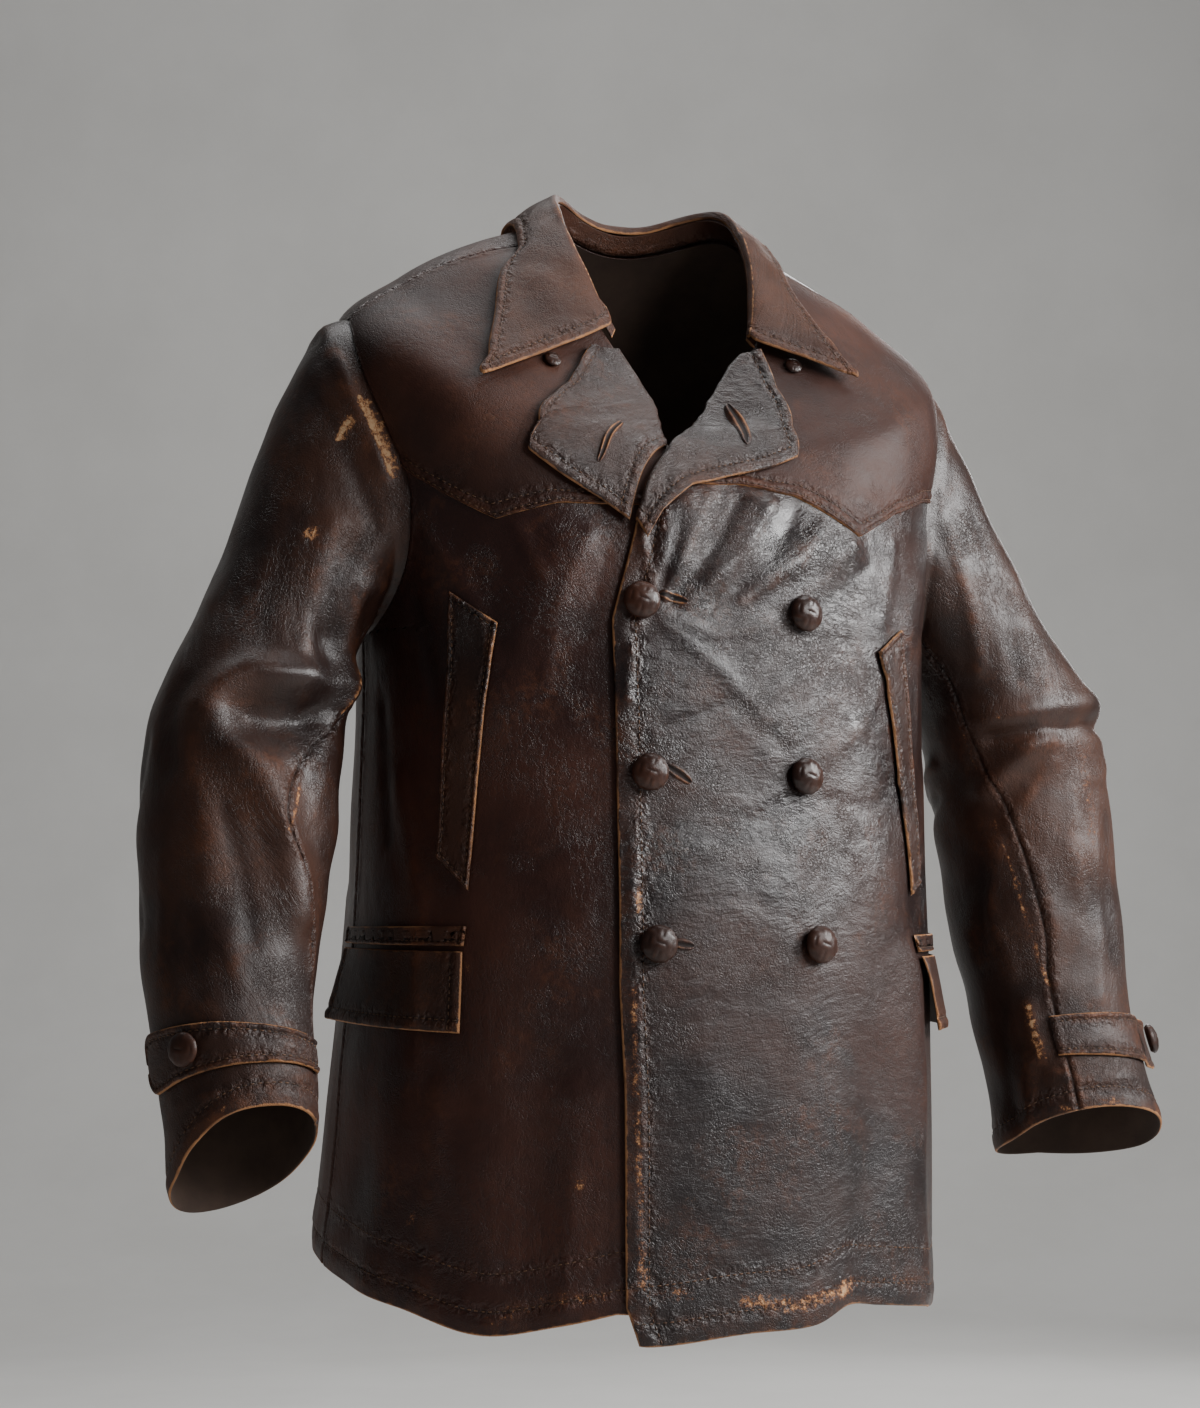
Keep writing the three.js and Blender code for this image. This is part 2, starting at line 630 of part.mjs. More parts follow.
// One sleeve as a surface: round in degrees from its front, outwards positive, and station from the armhole
function sleeveForm(side, stations, folds, head) {
  const stationAt = curveThrough(stations);
  const tube = (round, station) => {
    const [x, y, z, out, inside, front, back, outLean, frontLean] = stationAt(station);
    const sin = Math.sin(degrees(round));
    const cos = Math.cos(degrees(round));
    const reach = squaredReach(cos, sin, SLEEVE_SQUARENESS);
    const outward = new THREE.Vector3(side * Math.cos(degrees(outLean)), 0, Math.sin(degrees(outLean)));
    const forward = new THREE.Vector3(0, -Math.cos(degrees(frontLean)), Math.sin(degrees(frontLean)));
    return new THREE.Vector3(side * x, y, z)
      .addScaledVector(outward, (sin > 0 ? out : inside) * reach * sin)
      .addScaledVector(forward, (cos > 0 ? front : back) * reach * cos);
  };
  const smooth = (round, station) => {
    if (station >= 1) return tube(round, station);
    const top = (1 + Math.sin(degrees(round))) / 2;
    const start = armholePoint(side, round);
    const [outwards, upwards] = SLEEVE_FOOT.map((value, i) => lerp(value, head[i], top));
    const leave = new THREE.Vector3(side * outwards, 0, upwards);
    const end = tube(round, 1);
    const reach = lerp(SLEEVE_ARRIVAL.foot, SLEEVE_ARRIVAL.head, top);
    const arrive = tube(round, 1.02).sub(tube(round, 1)).setLength(reach);
    const t = station;
    return start
      .multiplyScalar(2 * t ** 3 - 3 * t ** 2 + 1)
      .addScaledVector(leave, t ** 3 - 2 * t ** 2 + t)
      .addScaledVector(end, 3 * t ** 2 - 2 * t ** 3)
      .addScaledVector(arrive, t ** 3 - t ** 2);
  };
  const placedFolds = placeFolds(folds, smooth);
  return (round, station, lift = 0) => {
    const point = smooth(round, station);
    const around = smooth(round + 1, station).sub(smooth(round - 1, station));
    const along = smooth(round, station + 0.02).sub(smooth(round, Math.max(station - 0.02, 0)));
    const normal = along.cross(around).normalize().multiplyScalar(side);
    point.addScaledVector(normal, lift + foldHeight(point, placedFolds));
    return { point, normal };
  };
}

function addSleeve(name, form, frontSeam) {
  const seam = curveThrough(frontSeam);
  const upper = (u, station) => form(lerp(seam(station)[0], BACK_SEAM, u), station);
  const under = (u, station) => form(lerp(BACK_SEAM - 360, seam(station)[0], u), station);
  addPiece(`sleeve_${name}_upper`, leatherWall(upper, evenly(UPPER_COLUMNS), SLEEVE_ROWS), SLEEVE_LEATHER);
  addPiece(`sleeve_${name}_under`, leatherWall(under, evenly(UNDER_COLUMNS), SLEEVE_ROWS), SLEEVE_LEATHER);
}

// A strap from the sleeve's front seam to its buttoned tip, which stands off a little
function addStrap(name, form, strap) {
  const place = (u, v) => {
    const past = Math.max(u - STRAP_ROUND_FROM, 0) / (STRAP_ROUND_TO - STRAP_ROUND_FROM);
    const narrow = Math.sqrt(1 - past ** 2);
    const top = lerp(...strap.top, u);
    const bottom = lerp(...strap.bottom, u);
    const station = (top + bottom) / 2 + ((bottom - top) / 2) * narrow * (1 - 2 * v);
    const stand = strap.stand * smoothstep(u, STRAP_LOOSE_FROM, 1);
    return form(lerp(strap.from, strap.to, u), station, STRAP_LIFT + stand);
  };
  const columns = [...evenly(14).map((u) => u * STRAP_ROUND_FROM), ...STRAP_END_COLUMNS];
  addPiece(`cuff_strap_${name}`, leatherWall(place, columns, evenly(3)), TRIM_LEATHER);
  const share = (strap.button - strap.from) / (strap.to - strap.from);
  const station = (lerp(...strap.top, share) + lerp(...strap.bottom, share)) / 2;
  const lift = STRAP_LIFT + strap.stand * smoothstep(share, STRAP_LOOSE_FROM, 1) + strap.gap;
  addButton(`cuff_button_${name}`, form(strap.button, station, lift), CUFF_BUTTON_RADIUS, CUFF_BUTTON_HEIGHT);
}

// A turned-out lapel between its roll and its edge
function addLapel(name, side, outline, lift) {
  const outlineAt = cornersThrough(outline);
  const place = (u, v) => {
    const [rollTurn, rollLevel, edgeTurn, edgeLevel] = outlineAt(v);
    const turn = side * lerp(rollTurn, edgeTurn, u);
    return onBody(turn, lerp(rollLevel, edgeLevel, u), lift + LAPEL_CURL * u * u, side > 0);
  };
  addPiece(`lapel_${name}`, leatherWall(place, evenly(6), lapelRows(outline)), TRIM_LEATHER);
}

// Rows at the listed places of an outline and halfway between them
function lapelRows(outline) {
  return outline.flatMap(([share], k) => (k ? [(share + outline[k - 1][0]) / 2, share] : [share]));
}

const collarEdge = curveThrough(COLLAR_EDGE);

// Turn round the neck, from the wearer's right collar end by the back to the left one
function neckTurn(u) {
  return lerp(360 - COLLAR_END, COLLAR_END, u);
}

function signedTurn(turn) {
  return turn > 180 ? turn - 360 : turn;
}

// Foot and fold of the collar stand, with the level direction away from the neck
function collarFrame(turn) {
  const near = signedTurn(turn);
  const { point: foot } = onBody(near, NECK_LEVEL, panelLift(near, NECK_LEVEL) + COLLAR_FOOT_GAP, near > 0);
  const away = new THREE.Vector3(foot.x - NECK_CENTRE.x, foot.y - NECK_CENTRE.y, 0).normalize();
  const rise = lerp(STAND_HEIGHT.front, STAND_HEIGHT.back, smoothstep(Math.abs(near), COLLAR_END, STAND_FULL_FROM));
  const fold = foot.clone().addScaledVector(UP, rise).addScaledVector(away, -STAND_INSET * rise);
  return { foot, fold, away, near };
}

// The fall: over the fold and down to the outer edge
function collarFallPoint(turn, v) {
  const { fold, away, near } = collarFrame(turn);
  const [edgeTurn, edgeLevel, edgeLift] = collarEdge(near);
  const edge = onBody(edgeTurn, edgeLevel, edgeLift, near > 0).point;
  const around = (out, up) => fold.clone().addScaledVector(away, out).addScaledVector(UP, up);
  const [inner, crest, outer] = FOLD_SECTION.map(([out, up]) => around(out, up));
  const belly = outer.clone().lerp(edge, BELLY_SHARE).add(away).add(UP);
  const curve = new THREE.CatmullRomCurve3([inner, crest, outer, belly, edge], false, "centripetal");
  return curve.getPoint(v);
}

function collarStandPoint(turn, v) {
  const { foot, fold, away } = collarFrame(turn);
  const [[inwards, below]] = FOLD_SECTION;
  const top = fold.clone().addScaledVector(away, inwards).addScaledVector(UP, below - FOLD_GAP);
  return foot.sub(away).lerp(top, v);
}

// Normal of a collar surface, on the side that is seen
function collarNormal(surface, turn, v, sign) {
  const around = surface(turn + 0.5, v).sub(surface(turn - 0.5, v));
  const along = surface(turn, Math.min(v + 0.01, 1)).sub(surface(turn, Math.max(v - 0.01, 0)));
  return around.cross(along).normalize().multiplyScalar(sign);
}

function addCollar() {
  const stand = (u, v) => {
    const turn = neckTurn(u);
    return { point: collarStandPoint(turn, v), normal: collarNormal(collarStandPoint, turn, v, -1) };
  };
  const fall = (u, v) => {
    const set = u > 0.5 ? COLLAR_END_SET.left : COLLAR_END_SET.right;
    const back = set * (1 - v) ** 2 - COLLAR_END_BOW * Math.sin(Math.PI * v);
    const turn = neckTurn(u) + Math.sign(u - 0.5) * back * Math.abs(2 * u - 1) ** COLLAR_END_FADE;
    return { point: collarFallPoint(turn, v), normal: collarNormal(collarFallPoint, turn, v, -1) };
  };
  addPiece("collar_stand", leatherWall(stand, evenly(COLLAR_COLUMNS), evenly(2)), COLLAR_LEATHER);
  addPiece("collar_fall", leatherWall(fall, evenly(COLLAR_COLUMNS), evenly(9)), COLLAR_LEATHER);
}

// A flat piece laid on a front between two edges, outer and inner, with its own lift at each corner
function addLaidPiece(name, side, corners, liftAt, columns, rows, finish = TRIM_LEATHER) {
  const [outTopTurn, outTopLevel, inTopTurn, inTopLevel] = corners.top;
  const [outLowTurn, outLowLevel, inLowTurn, inLowLevel] = corners.bottom;
  const place = (u, v) => {
    const turn = side * lerp(lerp(inLowTurn, outLowTurn, u), lerp(inTopTurn, outTopTurn, u), v);
    const level = lerp(lerp(inLowLevel, outLowLevel, u), lerp(inTopLevel, outTopLevel, u), v);
    return onBody(turn, level, panelLift(turn, level) + liftAt(u, v), side > 0);
  };
  addPiece(name, leatherWall(place, evenly(columns), evenly(rows)), finish);
}

function addPockets(name, side, welt, band, flap, stand) {
  const flapLift = (u, v) => lerp(lerp(stand.inner, stand.outer, u ** 2), stand.top, v);
  addLaidPiece(`welt_${name}`, side, welt, () => WELT_LIFT, 2, 12);
  addLaidPiece(`pocket_band_${name}`, side, band, () => BAND_LIFT, 12, 1);
  addLaidPiece(`pocket_flap_${name}`, side, flap, flapLift, 12, 4);
}

// A domed button with a flat underside, standing on the given place
function addButton(name, { point, normal }, radius, height) {
  const rim = height * BUTTON_RIM_SHARE;
  const dome = evenly(4).map((t) => {
    const angle = (t * Math.PI) / 2;
    return new THREE.Vector2(radius * Math.cos(angle), rim + (height - rim) * Math.sin(angle));
  });
  const profile = [new THREE.Vector2(0, 0), new THREE.Vector2(radius * BUTTON_FOOT_SHARE, 0), ...dome];
  profile[profile.length - 1].x = 0;
  const mesh = addPiece(name, new THREE.LatheGeometry(profile, 14), BUTTON_LEATHER);
  mesh.position.copy(point);
  mesh.quaternion.setFromUnitVectors(new THREE.Vector3(0, 1, 0), normal);
}

function addButtons() {
  FRONT_BUTTONS.forEach(([turn, level], k) => {
    const lift = TOP_FRONT_LIFT + BUTTON_GAP;
    addButton(`front_button_${k + 1}`, onBody(turn, level, lift, true), BUTTON_RADIUS, BUTTON_HEIGHT);
  });
  for (const [name, [turn, level]] of Object.entries(COLLAR_BUTTONS)) {
    const place = onBody(turn, level, panelLift(turn, level) + BUTTON_GAP);
    addButton(`collar_button_${name}`, place, SMALL_BUTTON_RADIUS, SMALL_BUTTON_HEIGHT);
  }
}

addFronts();
addBack();
const sleeveRight = sleeveForm(-1, SLEEVE_RIGHT, SLEEVE_FOLDS_RIGHT, SLEEVE_HEAD_RIGHT);
const sleeveLeft = sleeveForm(1, SLEEVE_LEFT, SLEEVE_FOLDS_LEFT, SLEEVE_HEAD_LEFT);
addSleeve("right", sleeveRight, FRONT_SEAM_RIGHT);
addSleeve("left", sleeveLeft, FRONT_SEAM_LEFT);
addStrap("right", sleeveRight, STRAP_RIGHT);
addStrap("left", sleeveLeft, STRAP_LEFT);
addLapel("left", 1, LAPEL_LEFT, TOP_FRONT_LIFT + YOKE_STEP + LAPEL_LIFT);
addLapel("right", -1, LAPEL_RIGHT, YOKE_STEP + LAPEL_LIFT);
addCollar();
addPockets("left", 1, WELT_LEFT, BAND_LEFT, FLAP_LEFT, FLAP_LIFT_LEFT);
addPockets("right", -1, WELT_RIGHT, BAND_RIGHT, FLAP_RIGHT, FLAP_LIFT_RIGHT);
addButtons();

export default coat;
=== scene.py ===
"""Dresses a worn double-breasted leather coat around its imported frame.

Every surface is worked out on a grid of two parameters, in the millimetres and the frame of the part's
source: +Z is up, the front faces -Y and the wearer's left side is +X. Meshes are made in metres.
"""

import logging
import math
from collections.abc import Callable
from dataclasses import dataclass, field, replace
from enum import Enum

import bmesh
import bpy
import numpy as np
from mathutils import Euler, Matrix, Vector


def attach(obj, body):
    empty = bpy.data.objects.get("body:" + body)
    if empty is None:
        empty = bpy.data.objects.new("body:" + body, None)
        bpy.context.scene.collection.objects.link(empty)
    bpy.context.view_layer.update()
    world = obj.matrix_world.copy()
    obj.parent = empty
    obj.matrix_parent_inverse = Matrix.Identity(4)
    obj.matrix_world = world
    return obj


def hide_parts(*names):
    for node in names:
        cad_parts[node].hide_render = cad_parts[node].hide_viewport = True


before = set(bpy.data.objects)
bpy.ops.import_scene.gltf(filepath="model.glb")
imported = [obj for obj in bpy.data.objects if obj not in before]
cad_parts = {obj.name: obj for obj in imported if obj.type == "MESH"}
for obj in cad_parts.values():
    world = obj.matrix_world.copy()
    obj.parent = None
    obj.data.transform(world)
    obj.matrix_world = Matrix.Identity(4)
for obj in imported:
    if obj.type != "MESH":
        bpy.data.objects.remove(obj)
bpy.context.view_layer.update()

log = logging.getLogger("coat")
Array = np.ndarray
Rows = tuple[tuple[float, ...], ...]
Colour = tuple[float, float, float, float]
Surface = Callable[[Array, Array], Array]

MM = 0.001
LEATHER = 2.0
TOP_FRONT_LIFT = 4.6
OVERLAP_ENDS = (25.0, 60.0)
YOKE_STEP = 1.2
SIDE_SEAM = 93.0
NECK_LEVEL = 3.0
HEM_FADE = 0.35
# The armhole's edge is an ellipse round this level, with these halves in levels and in degrees
ARMHOLE_LEVEL = 1.59
ARMHOLE_RISE = 0.47
ARMHOLE_TURN = 28.0
# How far inside that edge the sleeve's head starts, and how far off the body
HEAD_SET_IN = 1.2
HEAD_LIFT = 3.0
# Stands for no edge or seam near
FAR_OFF = 60.0

# Level, half width, middle, front depth, back depth, z at front, side and back, squareness, lean
BODY_RINGS: Rows = (
    (0, 211, 16, 164, 186, -712, -681, -652, 2.15, -7),
    (0.22, 207, 11, 158, 172, -592, -577, -562, 2.15, -4),
    (0.45, 202, 5, 151, 152, -464, -457, -450, 2.15, -1),
    (0.7, 199, 3, 142, 144, -362, -360, -358, 2.2, 0),
    (1, 198, 2, 138, 143, -286, -284, -282, 2.25, 0),
    (1.5, 200, 1, 128, 138, -205, -180, -172, 2.35, 0),
    (2, 214, 0, 111, 112, -152, -62, -82, 2.55, -3),
    (2.35, 171, -1, 100, 94, -138, -23, -34, 2.4, -1),
    (2.7, 118, -2, 88, 74, -128, 2, 2, 2.2, 2),
    (3, 73, -3, 79, 54, -117, 14, 22, 2, 4),
    (3.4, 34, -5, 52, 34, -84, 22, 30, 2, 6),
)
# Turn and rise of the hem, on the wearer's left and right
HEM_LEFT: Rows = (
    (-22, 4), (-17, 0), (0, 7), (14, 9), (22, 18), (30, 14), (39, 8), (60, -6), (90, 0), (180, 4),
)
HEM_RIGHT: Rows = ((-180, 4), (-108, 9), (-80, 8), (-63, 5), (-46, -2), (-32, 9), (-22, 19))
# Level, turn of each front's edge past the middle
EDGE_TOP: Rows = (
    (0, -18.5), (0.04, -20.8), (0.28, -21.6), (0.4, -22.9), (1.15, -23.3), (1.28, -21.5),
    (1.55, -17.6), (1.8, -13.4), (2.04, -7.6), (2.34, -5.9), (2.89, -4.1), (3, -1),
)
EDGE_UNDER: Rows = (
    (0, -20), (1.2, -20), (1.55, -10), (1.8, -3), (2.12, 6.5), (2.32, 9.4), (2.6, 13), (2.86, 18),
    (3, 31),
)
# Share across the panel, level
NECK_LEFT: Rows = (
    (0, 3), (0.07, 3.11), (0.22, 3.16), (0.4, 3.13), (0.48, 3.03), (0.56, 3), (1, 3),
)
NECK_RIGHT: Rows = ((0, 3), (1, 3))
YOKE_LEFT: Rows = (
    (0, 1.79), (0.2, 1.84), (0.355, 1.76), (0.47, 1.64), (0.56, 1.54), (0.68, 1.64), (0.82, 1.67),
    (1, 1.65),
)
YOKE_RIGHT: Rows = ((0, 1.63), (0.3, 1.67), (0.53, 1.62), (0.72, 1.52), (0.86, 1.59), (1, 1.65))
# Share of the length, then turn and level of the roll and of the edge
LAPEL_LEFT: Rows = (
    (0, 41, 3.08, 46, 2.97), (0.15, 32.2, 3.13, 33.8, 2.78), (0.3, 20.4, 3.14, 21.8, 2.37),
    (0.42, 7.1, 3.09, 16.5, 2.01), (0.5, -1.5, 2.93, 11.4, 1.95), (0.62, -5.4, 2.45, 2.1, 1.87),
    (0.76, -8.4, 2.02, -6.2, 1.77), (0.88, -13.4, 1.78, -12.6, 1.62), (1, -17.4, 1.56, -16.4, 1.48),
)
LAPEL_RIGHT: Rows = (
    (0, 43, 2.99, 45.7, 2.83), (0.12, 38, 2.98, 40.1, 2.66), (0.25, 32, 2.96, 35.6, 2.48),
    (0.42, 23, 2.89, 31, 2), (0.52, 19, 2.82, 33.7, 1.84), (0.68, 14, 2.62, 28.3, 1.74),
    (0.85, 10.4, 2.33, 23, 1.66), (1, 8.8, 2.14, 18.6, 1.57),
)
# Turn round the neck, then turn, level and lift of the collar's outer edge
COLLAR_EDGE: Rows = (
    (-180, -180, 2.64, 7), (-140, -142, 2.69, 7), (-110, -110, 2.83, 6), (-88, -84.8, 2.81, 6),
    (-78, -76, 2.69, 6.5), (-65, -60.4, 2.52, 7.5), (-54, -49.4, 2.31, 8), (-47, -44.2, 2.16, 8),
    (47, 47.5, 2.42, 11.5), (54, 53.8, 2.57, 11), (66, 65.7, 2.75, 9), (80, 78.5, 2.83, 7),
    (110, 110, 2.8, 7), (140, 141, 2.71, 7), (180, 180, 2.64, 7),
)
# Station, x, y, z, outward half, inward half, front half, back half, outward lean, forward lean
SLEEVE_RIGHT: Rows = (
    (1, 262, -2, -275, 57, 50, 58, 60, 21, 8), (2, 277, -10, -314, 64, 58, 60, 62, 19, 12),
    (3, 287, -20, -352, 66, 60, 60, 62, 12, 16), (4, 296, -36, -406, 64, 60, 58, 60, 9, 17),
    (5, 306, -55, -467, 56, 54, 54, 56, 6, 18), (6, 309, -70, -515, 50, 48, 50, 52, 2, 18),
    (7, 308, -81, -552, 46, 46, 50, 52, -4, 24), (8, 308, -93, -598, 45, 46, 52, 56, -12, 31),
)
SLEEVE_LEFT: Rows = (
    (1, 262, 0, -268, 58, 48, 56, 60, 25, 4), (2, 285, 2, -306, 65, 58, 60, 62, 22, 2),
    (3, 296, 4, -346, 64, 60, 60, 62, 10, 8), (4, 300, -4, -402, 62, 60, 58, 60, 3, 11),
    (5, 304, -15, -467, 59, 60, 52, 56, 1, 12), (6, 307, -26, -519, 55, 54, 49, 52, 0, 13),
    (7, 311, -33, -553, 56, 54, 51, 54, 0, 14), (8, 316, -41, -596, 58, 56, 54, 56, 2, 15),
)
FRONT_SEAM_RIGHT: Rows = ((0, -58), (2, -50), (3.8, -10), (4.6, -33), (5.7, -58), (8, -60))
FRONT_SEAM_LEFT: Rows = ((0, -60), (2.4, -52), (3.7, -37), (4.9, -24), (5.5, -27), (8, -27))
BACK_SEAM = 205.0
# Turn, station where the leather ends at the cuff
SLEEVE_HEM_RIGHT: Rows = (
    (-180, 8), (-90, 7.97), (-50, 7.87), (-10, 7.74), (25, 7.7), (55, 7.82), (90, 7.97), (180, 8),
)
SLEEVE_HEM_LEFT: Rows = (
    (-180, 8), (-90, 8.02), (-45, 7.84), (0, 7.78), (40, 7.88), (75, 8.12), (105, 8.18), (180, 8),
)


def cubic(start: Array, leave: Array, end: Array, arrive: Array, t: Array) -> Array:
    """A cubic from start to end, as t goes from 0 to 1, that leaves and arrives with these slopes."""
    return (start * (2 * t**3 - 3 * t**2 + 1) + leave * (t**3 - 2 * t**2 + t)
            + end * (3 * t**2 - 2 * t**3) + arrive * (t**3 - t**2))


def bell(distance: Array, width: float) -> Array:
    """A bell curve: 1 at distance 0, and 1/e at the width."""
    return np.exp(-((distance / width) ** 2))


def curve_through(rows: Rows, places: Array) -> Array:
    """Reads a smooth curve through rows of (place, value, ...).

    Between two rows it is a cubic that leaves each with the slope between that row's neighbours.

    Args:
        rows: The rows, by growing place.
        places: Where to read the curve.

    Returns:
        The values, with one more axis than places.
    """
    table = np.asarray(rows, float)
    at = table[:, 0]
    order = np.arange(len(at))
    before, after = np.maximum(order - 1, 0), np.minimum(order + 1, len(at) - 1)
    slopes = (table[after] - table[before]) / (at[after] - at[before])[:, None]
    k = np.clip(np.searchsorted(at, places, side="left") - 1, 0, len(at) - 2)
    width = (at[k + 1] - at[k])[..., None]
    t = (np.asarray(places, float) - at[k])[..., None] / width
    return cubic(table[k], slopes[k] * width, table[k + 1], slopes[k + 1] * width, t)[..., 1:]


def corners_through(rows: Rows, places: Array) -> Array:
    """Reads straight runs between rows of (place, value, ...).

    Args:
        rows: The rows, by growing place.
        places: Where to read them.

    Returns:
        The values, with one more axis than places.
    """
    table = np.asarray(rows, float)
    at = table[:, 0]
    k = np.clip(np.searchsorted(at, places, side="left") - 1, 0, len(at) - 2)
    t = ((np.asarray(places, float) - at[k]) / (at[k + 1] - at[k]))[..., None]
    return (table[k] * (1 - t) + table[k + 1] * t)[..., 1:]


def smooth(value: Array, low: float, high: float) -> Array:
    """A soft step from 0 at low to 1 at high, level at both ends."""
    t = np.clip((np.asarray(value, float) - low) / (high - low), 0, 1)
    return t * t * (3 - 2 * t)


def unit(vectors: Array) -> Array:
    """The vectors at length 1."""
    return vectors / np.maximum(np.linalg.norm(vectors, axis=-1, keepdims=True), 1e-9)


def squared_reach(cos: Array, sin: Array, squareness: Array | float) -> Array:
    """How far a rounded square of half size 1 reaches in a direction. Squareness 2 is a circle."""
    return (np.abs(cos) ** squareness + np.abs(sin) ** squareness) ** (-1 / squareness)


def unevenness(points: Array, seed: int, size: float, wave: float) -> Array:
    """A soft random swell of the leather: the mean of many plane waves of about one length.

    Args:
        points: Points in millimetres.
        seed: Picks the waves.
        size: Rough height in millimetres.
        wave: Rough wavelength in millimetres.

    Returns:
        The height at each point.
    """
    rng = np.random.default_rng(seed)
    directions = unit(rng.normal(size=(20, 3))) * (2 * np.pi / (wave * rng.uniform(0.6, 1.6, (20, 1))))
    phases = rng.uniform(0, 2 * np.pi, 20)
    return size * np.sin(points @ directions.T + phases).sum(-1) / math.sqrt(20)


@dataclass
class Laid:
    """A grid laid on a form: points, normals, height of the creases, and how far the dye is rubbed off."""

    points: Array
    normals: Array
    crease: Array
    rub: Array


@dataclass(frozen=True)
class Fold:
    """A soft ridge, or with a height below 0 a trough, along a line of stops on a surface.

    Its height falls off as a bell curve of the distance to the line.
    """

    stops: tuple[tuple[float, float], ...]
    width: float
    height: float


def folds(*rows: tuple) -> tuple[Fold, ...]:
    """Makes folds from rows of width, height and stops, each a turn and a level or station."""
    return tuple(Fold(tuple(stops), width, height) for width, height, *stops in rows)


def fold_height(points: Array, placed: list[tuple[Fold, Array]]) -> Array:
    """Adds up the heights of folds.

    Args:
        points: Where to read the height.
        placed: Each fold with its stops in space.

    Returns:
        The height at each point.
    """
    total = np.zeros(points.shape[:-1])
    for fold, line in placed:
        nearest = np.full(points.shape[:-1], np.inf)
        for start, end in zip(line[:-1], line[1:]):
            run = end - start
            share = np.clip(((points - start) @ run) / max(run @ run, 1e-9), 0, 1)
            gap = np.linalg.norm(points - start - share[..., None] * run, axis=-1)
            nearest = np.minimum(nearest, gap)
        total += fold.height * bell(nearest, fold.width)
    return total


# The soft folds that the solids have too, then the narrower creases that only the leather has, then
# the rubs, whose height is how far the dye is off
BODY_FOLDS = folds(
    (20, 3, (-30, 1.42), (-46, 0.9)),
    (18, 3.5, (-64, 1.5), (-54, 1.15)),
    (18, 4, (62, 1.5), (48, 1.2)),
    (22, -4, (26, 0.02), (29, 0.3)),
    (24, 6, (42, 0), (44, 0.4)),
    (26, 5, (-70, 0), (-66, 0.34)),
    (22, -4, (-38, 0), (-36, 0.3)),
    (20, 5, (150, 1.7), (128, 1.1)),
    (20, 5, (-150, 1.7), (-128, 1.1)),
    (30, 6, (165, 0.05), (168, 0.6)),
    (28, 5, (-150, 0), (-154, 0.5)),
)
TOP_FRONT_FOLDS = folds(
    (13, 4, (-6, 1.72), (-11, 1.4)),
    (12, 4.5, (8, 1.7), (-3, 1.36)),
    (14, 4, (26, 1.5), (6, 1.38)),
)
BODY_CREASES = folds(
    (5, 1.1, (-26, 1.5), (-33, 1.2), (-36, 0.95)),
    (4, -0.9, (-24, 1.4), (-28, 1.1)),
    (5, 1.0, (-40, 1.5), (-36, 1.3)),
    (5, 1.2, (-60, 1.44), (-50, 1.2), (-46, 1.0)),
    (6, -1.2, (-66, 1.2), (-60, 0.9)),
    (4, -0.6, (-26, 0.62), (-38, 0.56)),
    (4, 0.6, (-28, 0.33), (-44, 0.3)),
    (8, 1.6, (-72, 0.7), (-64, 0.5), (-62, 0.3)),
    (7, -1.6, (-80, 0.9), (-76, 0.6)),
    (9, 1.6, (-56, 0.28), (-58, 0.02)),
    (7, 1.2, (-30, 0.2), (-31, 0.02)),
    (6, 1.4, (66, 1.4), (54, 1.12), (52, 0.8)),
    (7, -1.4, (72, 1.1), (64, 0.8)),
    (6, 1.2, (34, 0.2), (35, 0.0)),
    (8, 1.8, (120, 1.8), (140, 1.5), (165, 1.4)),
    (8, 1.8, (-120, 1.8), (-140, 1.52), (-162, 1.42)),
    (7, -1.6, (116, 1.3), (135, 1.1)),
    (7, -1.6, (-116, 1.28), (-133, 1.06)),
    (7, 1.4, (120, 0.9), (150, 0.8), (172, 0.84)),
    (7, 1.4, (-118, 0.94), (-146, 0.82), (-170, 0.88)),
    (10, 2.0, (140, 0.6), (142, 0.05)),
    (10, 1.8, (-172, 0.55), (-170, 0.05)),
    (10, 1.8, (-112, 0.5), (-110, 0.05)),
    (10, 1.6, (112, 0.6), (108, 0.05)),
)
